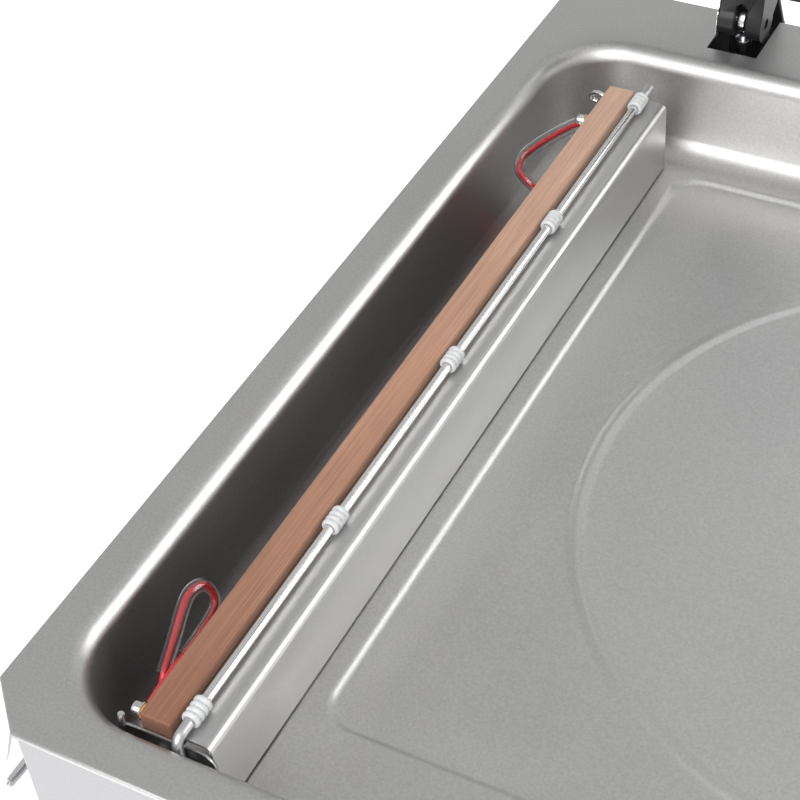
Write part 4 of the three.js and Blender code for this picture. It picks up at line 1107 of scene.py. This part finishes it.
def switches():
    # rocker with a dished face and two moulded marks
    pts = [(by0 - 3.3, 202.9)] + [(by0 - 3.2 + 1.8 * math.sin(math.pi * t) * 0.45 + 2.4 * t, 202.6 - 15.6 * t) for t in [i / 14 for i in range(1, 15)]]
    ol = [(by0 + 5.5, 187), (by0 + 5.5, 203.2), (by0 - 2.9, 203.2)] + pts
    o = extrude("rocker_cap", ol, "X", -227.7, -200.3, switch_m, None, sharp=40)
    bevel(o, 0.45, 2, 45)
    bake(o)
    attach(o, "power_switch")
    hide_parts("power_switch_rocker")
    v, f = box_data(-214.5, -213.5, by0 - 3.05, by0 - 2.2, 197.5, 201.5)
    mesh("rocker_line", v, f, keylite_m, "power_switch", smooth=False, slot="switch_black")
    lathe("rocker_ring", [(1.5, 0.0), (2.1, 0.0), (2.1, 0.5), (1.5, 0.5)], (-214, by0 - 1.15, 190.2), (0, -1, 0.12), keylite_m, "power_switch", n=28, closed=True, slot="switch_black")
    # snap-in surround
    def r_(d, yy):
        return [(p[0], yy, p[1]) for p in rr(-231 + d, -197 - d, 182 + d, 208 - d, max(2.5 - d, 0.3), 0, k=5, ms=2)]
    sec = [(0.3, by0 - 0.05), (0.0, by0 - 0.6), (0.5, by0 - 1.3), (1.6, by0 - 1.5), (2.45, by0 - 1.2), (2.6, by0 - 0.6), (2.6, by0 - 0.05)]
    loops = [r_(d, yy) for d, yy in sec]
    v = [p for l in loops for p in l]
    mesh("rocker_surround", v, fix(v, loft_faces(len(loops[0]), len(loops), ring=True)), switch_m, "cabinet", slot="switch_black")
    # stop button: domed cap, and a collar fixed to the panel
    lathe("stop_cap", [(0, -8), (9, -8), (9, 4.2), (8.7, 5.6), (7.9, 6.7), (6.4, 7.3), (3.5, 7.15), (0, 6.9)], (-170, by0, 195), (0, -1, 0), red_m, "stop_button_body", n=56, replaces=("stop_button",), slot="stop_red")
    lathe("stop_collar_ring", [(9.6, -6), (11.2, -6), (11.2, 0.1), (14.2, 0.1), (14.6, 0.6), (14.3, 1.8), (12.8, 2.6), (10.4, 2.9), (9.6, 2.3)], (-170, by0, 195), (0, -1, 0), zinc_m, "cabinet", n=56, closed=True, slot="bright_steel")


switches()


def sides():
    for sg in (1, -1):
        sd = "right" if sg > 0 else "left"
        xo = sg * bx
        # side panel with the same rolled top edge, and louvres pressed out over its slots
        t, r = 1.2, 3.0
        sec = [(0, Z0)]
        for a in range(0, 91, 10):
            sec.append((r - r * math.cos(math.radians(a)), ZT - r + r * math.sin(math.radians(a))))
        sec += [(9.0, ZT), (9.0, ZT - t)]
        for a in range(90, -1, -15):
            sec.append((r - (r - t) * math.cos(math.radians(a)), ZT - r + (r - t) * math.sin(math.radians(a))))
        sec += [(t, Z0)]
        v, f = extrude_data([(sg * (bx - i), z) for i, z in sec], "Y", by0 + ch + 0.4, by1 - ch - 0.4)
        o = mesh("side_wall_" + sd, v, fix(v, f), side_m, sharp=30)
        boolean(o, [cutter(min(xo - 4, xo + 4), max(xo - 4, xo + 4), 110 + i * 14, 116 + i * 14, 70, 130) for i in range(6)])
        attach(o, "cabinet")
        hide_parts("side_panel_" + sd)
        for i in range(6):
            y0 = 110 + i * 14
            v = []
            rows = 13
            for j in range(rows):
                u = j / (rows - 1)
                z = 70 + 60 * u
                hgt = 3.0 * min(1, math.sin(math.pi * u) * 2.2)
                for k in range(9):
                    w = k / 8
                    lift = hgt * math.sin(w * math.pi * 0.5)
                    v.append((xo + sg * (lift - 0.1), y0 - 0.4 + w * 6.4, z))
            nb = len(v)
            v += [(x - sg * 0.8, y, z) for x, y, z in v]
            f = []
            for j in range(rows - 1):
                for k in range(8):
                    a = j * 9 + k
                    f.append((a, a + 1, a + 10, a + 9))
                    f.append((nb + a, nb + a + 9, nb + a + 10, nb + a + 1))
            edge = [(j * 9 + 0, (j + 1) * 9 + 0) for j in range(rows - 1)] + [((rows - 1) * 9 + k, (rows - 1) * 9 + k + 1) for k in range(8)] + [((j + 1) * 9 + 8, j * 9 + 8) for j in reversed(range(rows - 1))] + [(k + 1, k) for k in reversed(range(8))]
            f += [(b, a, a + nb, b + nb) for a, b in edge]
            mesh("louvre_%d_%s" % (i + 1, sd), v, fix(v, f), side_m, "cabinet", sharp=50, slot="panel_steel")
        for i, (y, z) in enumerate(((-225, 40), (230, 40), (0, 40), (230, 275), (0, 275))):
            screw("side_screw_%d_%s" % (i + 1, sd), xo, y, z, (sg, 0, 0), "cabinet", r=3.2, h=1.3)
        # bent-rod carrying handle, let into two bosses under the rolled edge
        rod = [(286.6, -238, 290), (287.2, -238, 290), (288.5, -238, 289.8), (290, -238, 288), (291.1, -238, 284.6), (301.2, -238, 250.9), (315.2, -238, 210.6), (317.6, -236.4, 203.6), (319, -232, 199.6), (319.6, -225, 198),
               (319.6, -175, 198), (319.6, -125, 198), (319, -118, 199.6), (317.6, -113.6, 203.6), (315.2, -112, 210.6), (301.2, -112, 250.9), (291.1, -112, 284.6), (290, -112, 288), (288.5, -112, 289.8), (287.2, -112, 290), (286.6, -112, 290)]
        tube("bent_rod_handle_" + sd, rod, 2.4, bright_m, "cabinet", n=24, mirror=sg < 0, replaces=("carry_handle_" + sd,), slot="bright_steel")
        for i, y in enumerate((-238, -112)):
            lathe("handle_boss_%d_%s" % (i + 1, sd), [(0, 0.0), (4.6, 0.0), (4.6, 0.8), (4.0, 1.3), (2.3, 1.5), (0, 1.5)], (sg * bx, y, 290), (sg, 0, 0), zinc_m, "cabinet", n=32, slot="bright_steel")


sides()


def rear():
    t, r = 1.2, 3.0
    pts = [(bx, by1 - ch), (bx - ch, by1), (-bx + ch, by1), (-bx, by1 - ch)]
    plan = [pts[0]] + corner(pts[1], pts[0], pts[2], 2.5) + corner(pts[2], pts[1], pts[3], 2.5) + [pts[3]]
    sec = [(0, Z0)]
    for a in range(0, 91, 10):
        sec.append((r - r * math.cos(math.radians(a)), ZT - r + r * math.sin(math.radians(a))))
    sec += [(9.0, ZT), (9.0, ZT - t)]
    for a in range(90, -1, -15):
        sec.append((r - (r - t) * math.cos(math.radians(a)), ZT - r + (r - t) * math.sin(math.radians(a))))
    sec += [(t, Z0)]
    v, f = panel_strip("rear", plan, sec, panel_m)
    o = mesh("rear_wall", v, fix(v, f), panel_m, sharp=30)
    cs = [cutter(s * 130 - 45, s * 130 + 45, by1 - 5, by1 + 2, 90 + i * 13, 95 + i * 13) for i in range(5) for s in (-1, 1)]
    cs += [cutter(-224.3, -195.7, by1 - 5, by1 + 2, 47.7, 76.3), cutter(175.1, 200.9, by1 - 12, by1 + 2, 274, 302), cutter(-200.9, -175.1, by1 - 12, by1 + 2, 274, 302)]
    boolean(o, cs)
    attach(o, "cabinet")
    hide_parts("rear_cover")
    for i, (x, z) in enumerate(((-255, 40), (255, 40), (-255, 250), (255, 250), (0, 40), (0, 285))):
        screw("rear_screw_%d" % (i + 1), x, by1, z, (0, 1, 0), "cabinet", r=3.2, h=1.3)
    # mains inlet: flanged body with a deep well and three flat pins
    o = extrude("inlet_body", [(-224, 48), (-196, 48), (-196, 76), (-224, 76)], "Y", by1 - 22, by1 + 1.2, switch_m, None)
    well = [(-220, 53.5), (-200, 53.5), (-200, 66), (-204.5, 71.5), (-215.5, 71.5), (-220, 66)]
    cv, cf = extrude_data(well, "Y", by1 - 16, by1 + 5)
    boolean(o, [mesh("cutter", cv, fix(cv, cf), switch_m, smooth=False)])
    bevel(o, 0.4, 2, 40)
    bake(o)
    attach(o, "cabinet")
    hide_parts("power_inlet")
    o = extrude("inlet_back", [(-216, 55), (-204, 55), (-204, 69), (-216, 69)], "Y", by1 - 30, by1 - 21.9, switch_m, None)
    bevel(o, 0.5, 2)
    bake(o)
    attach(o, "cabinet")
    for i, (x, z) in enumerate(((-215.2, 60), (-204.8, 60), (-210, 65.2))):
        o = extrude("inlet_pin_%d" % (i + 1), [(x - 1.0, z - 2), (x + 1.0, z - 2), (x + 1.0, z + 2), (x - 1.0, z + 2)], "Y", by1 - 17, by1 - 4, bright_m, None)
        bevel(o, 0.35, 2)
        bake(o)
        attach(o, "cabinet")


rear()


def underside():
    paint("base_pan", plate_m)
    for n, x, y in (("front_left", -250, -222), ("front_right", 250, -222), ("rear_left", -250, 222), ("rear_right", 250, 222)):
        prof = [(0, 1.2), (6, 1.2), (6.4, 0), (14.2, 0), (15.6, 0.5), (16.4, 1.8), (17.4, 6), (18.2, 12), (18.0, 12.8), (18.6, 13.4), (19.4, 20), (20, 26.7), (0, 26.7)]
        lathe("rubber_foot_" + n, prof, (x, y, 0), (0, 0, 1), rubber_m, "cabinet", n=56, replaces=("foot_" + n,), slot="rubber")
    # pump: finned body, motor, oil window and exhaust
    o = N["vacuum_pump"]
    paint("vacuum_pump", paint_m)
    bevel(o, 1.2, 2, 40)
    for i in range(12):
        x = -178 + i * 10
        lathe("pump_fin_%d" % (i + 1), [(52.05, -1.1), (55.2, -0.7), (55.2, 0.7), (52.05, 1.1)], (x, 60, 88.3), (1, 0, 0), paint_m, "cabinet", n=56, closed=True, slot="pump_paint")
    lathe("pump_oil_window", [(0, 0.1), (9, 0.1), (9.4, 1.4), (7.2, 2.0), (6.8, 1.2), (0, 1.2)], (8.1, 40, 70), (1, 0, 0), zinc_m, "cabinet", n=40, slot="bright_steel")


underside()

# ------------------------------------------------------------------ studio
floor_v = [(-6000, -6000, 0), (6000, -6000, 0), (6000, 6000, 0), (-6000, 6000, 0)]
fl = mesh("studio_floor_plane", [(x, y, -0.05) for x, y, z in floor_v], [(0, 1, 2, 3)], floor_material(), smooth=False)

w = bpy.data.worlds.new("studio")
scene.world = w
w.use_nodes = True
nt = w.node_tree
bg = nt.nodes["Background"]
tc = nt.nodes.new("ShaderNodeTexCoord")
sep = nt.nodes.new("ShaderNodeSeparateXYZ")


zc = nt.nodes.new("ShaderNodeMapRange")
xc = nt.nodes.new("ShaderNodeMapRange")
xc.inputs["From Min"].default_value = -1
yc = nt.nodes.new("ShaderNodeMapRange")
yc.inputs["From Min"].default_value = -1
nt.links.new(sep.outputs[2], zc.inputs["Value"])
nt.links.new(sep.outputs[0], xc.inputs["Value"])
nt.links.new(sep.outputs[1], yc.inputs["Value"])
mulx = nt.nodes.new("ShaderNodeMix")
mulx.data_type = "RGBA"
mulx.blend_type = "MULTIPLY"
mulx.inputs[0].default_value = 1.0


def ordered(src, stops):
    """Colour ramp whose stops are made in order, ends first."""
    r = nt.nodes.new("ShaderNodeValToRGB")
    nt.links.new(src, r.inputs["Fac"])
    cr = r.color_ramp
    cr.elements[0].position, cr.elements[1].position = 0.0, 1.0
    for end, st in ((0, stops[0]), (1, stops[-1])):
        cr.elements[end].color = (st[1],) * 3 + (1,)
    for pos, g in stops[1:-1]:
        cr.elements.new(pos).color = (g, g, g, 1)
    return r.outputs["Color"]


nt.links.new(ordered(zc.outputs[0], [(0, 0.95), (0.06, 0.90), (0.16, 0.66), (0.5, 0.66), (0.75, 0.55), (1, 0.60)]), mulx.inputs[6])
nt.links.new(ordered(xc.outputs[0], [(0, 0.52), (0.35, 0.74), (0.55, 0.87), (1, 1.0)]), mulx.inputs[7])
muly = nt.nodes.new("ShaderNodeMix")
muly.data_type = "RGBA"
muly.blend_type = "MULTIPLY"
muly.inputs[0].default_value = 1.0
nt.links.new(mulx.outputs[2], muly.inputs[6])
nt.links.new(ordered(yc.outputs[0], [(0, 0.50), (0.45, 0.42), (0.70, 0.36), (0.735, 0.37), (0.80, 0.42), (0.835, 0.50), (0.86, 0.72), (0.90, 1.25), (1, 1.5)]), muly.inputs[7])
nt.links.new(muly.outputs[2], bg.inputs["Color"])
bg.inputs["Strength"].default_value = 1.76


def area(name, direction, dist, size, power, size_y=None, at=(0, 0, 0.28)):
    l = bpy.data.lights.new(name, "AREA")
    l.shape = "RECTANGLE"
    l.size, l.size_y = size, size_y or size
    l.energy = power
    o = bpy.data.objects.new(name, l)
    scene.collection.objects.link(o)
    d = Vector(direction).normalized()
    o.location = Vector(at) + d * dist
    o.rotation_euler = (-d).to_track_quat("-Z", "Y").to_euler()
    return o


area("key_right_rear", (0.72, 0.55, 0.42), 2.6, 1.5, 34)
area("top_front", (0, -0.75, 0.66), 2.6, 2.0, 62)

scene.view_settings.view_transform = "Standard"
scene.view_settings.look = "None"
scene.view_settings.exposure = 0.0
scene.view_settings.gamma = 1.0
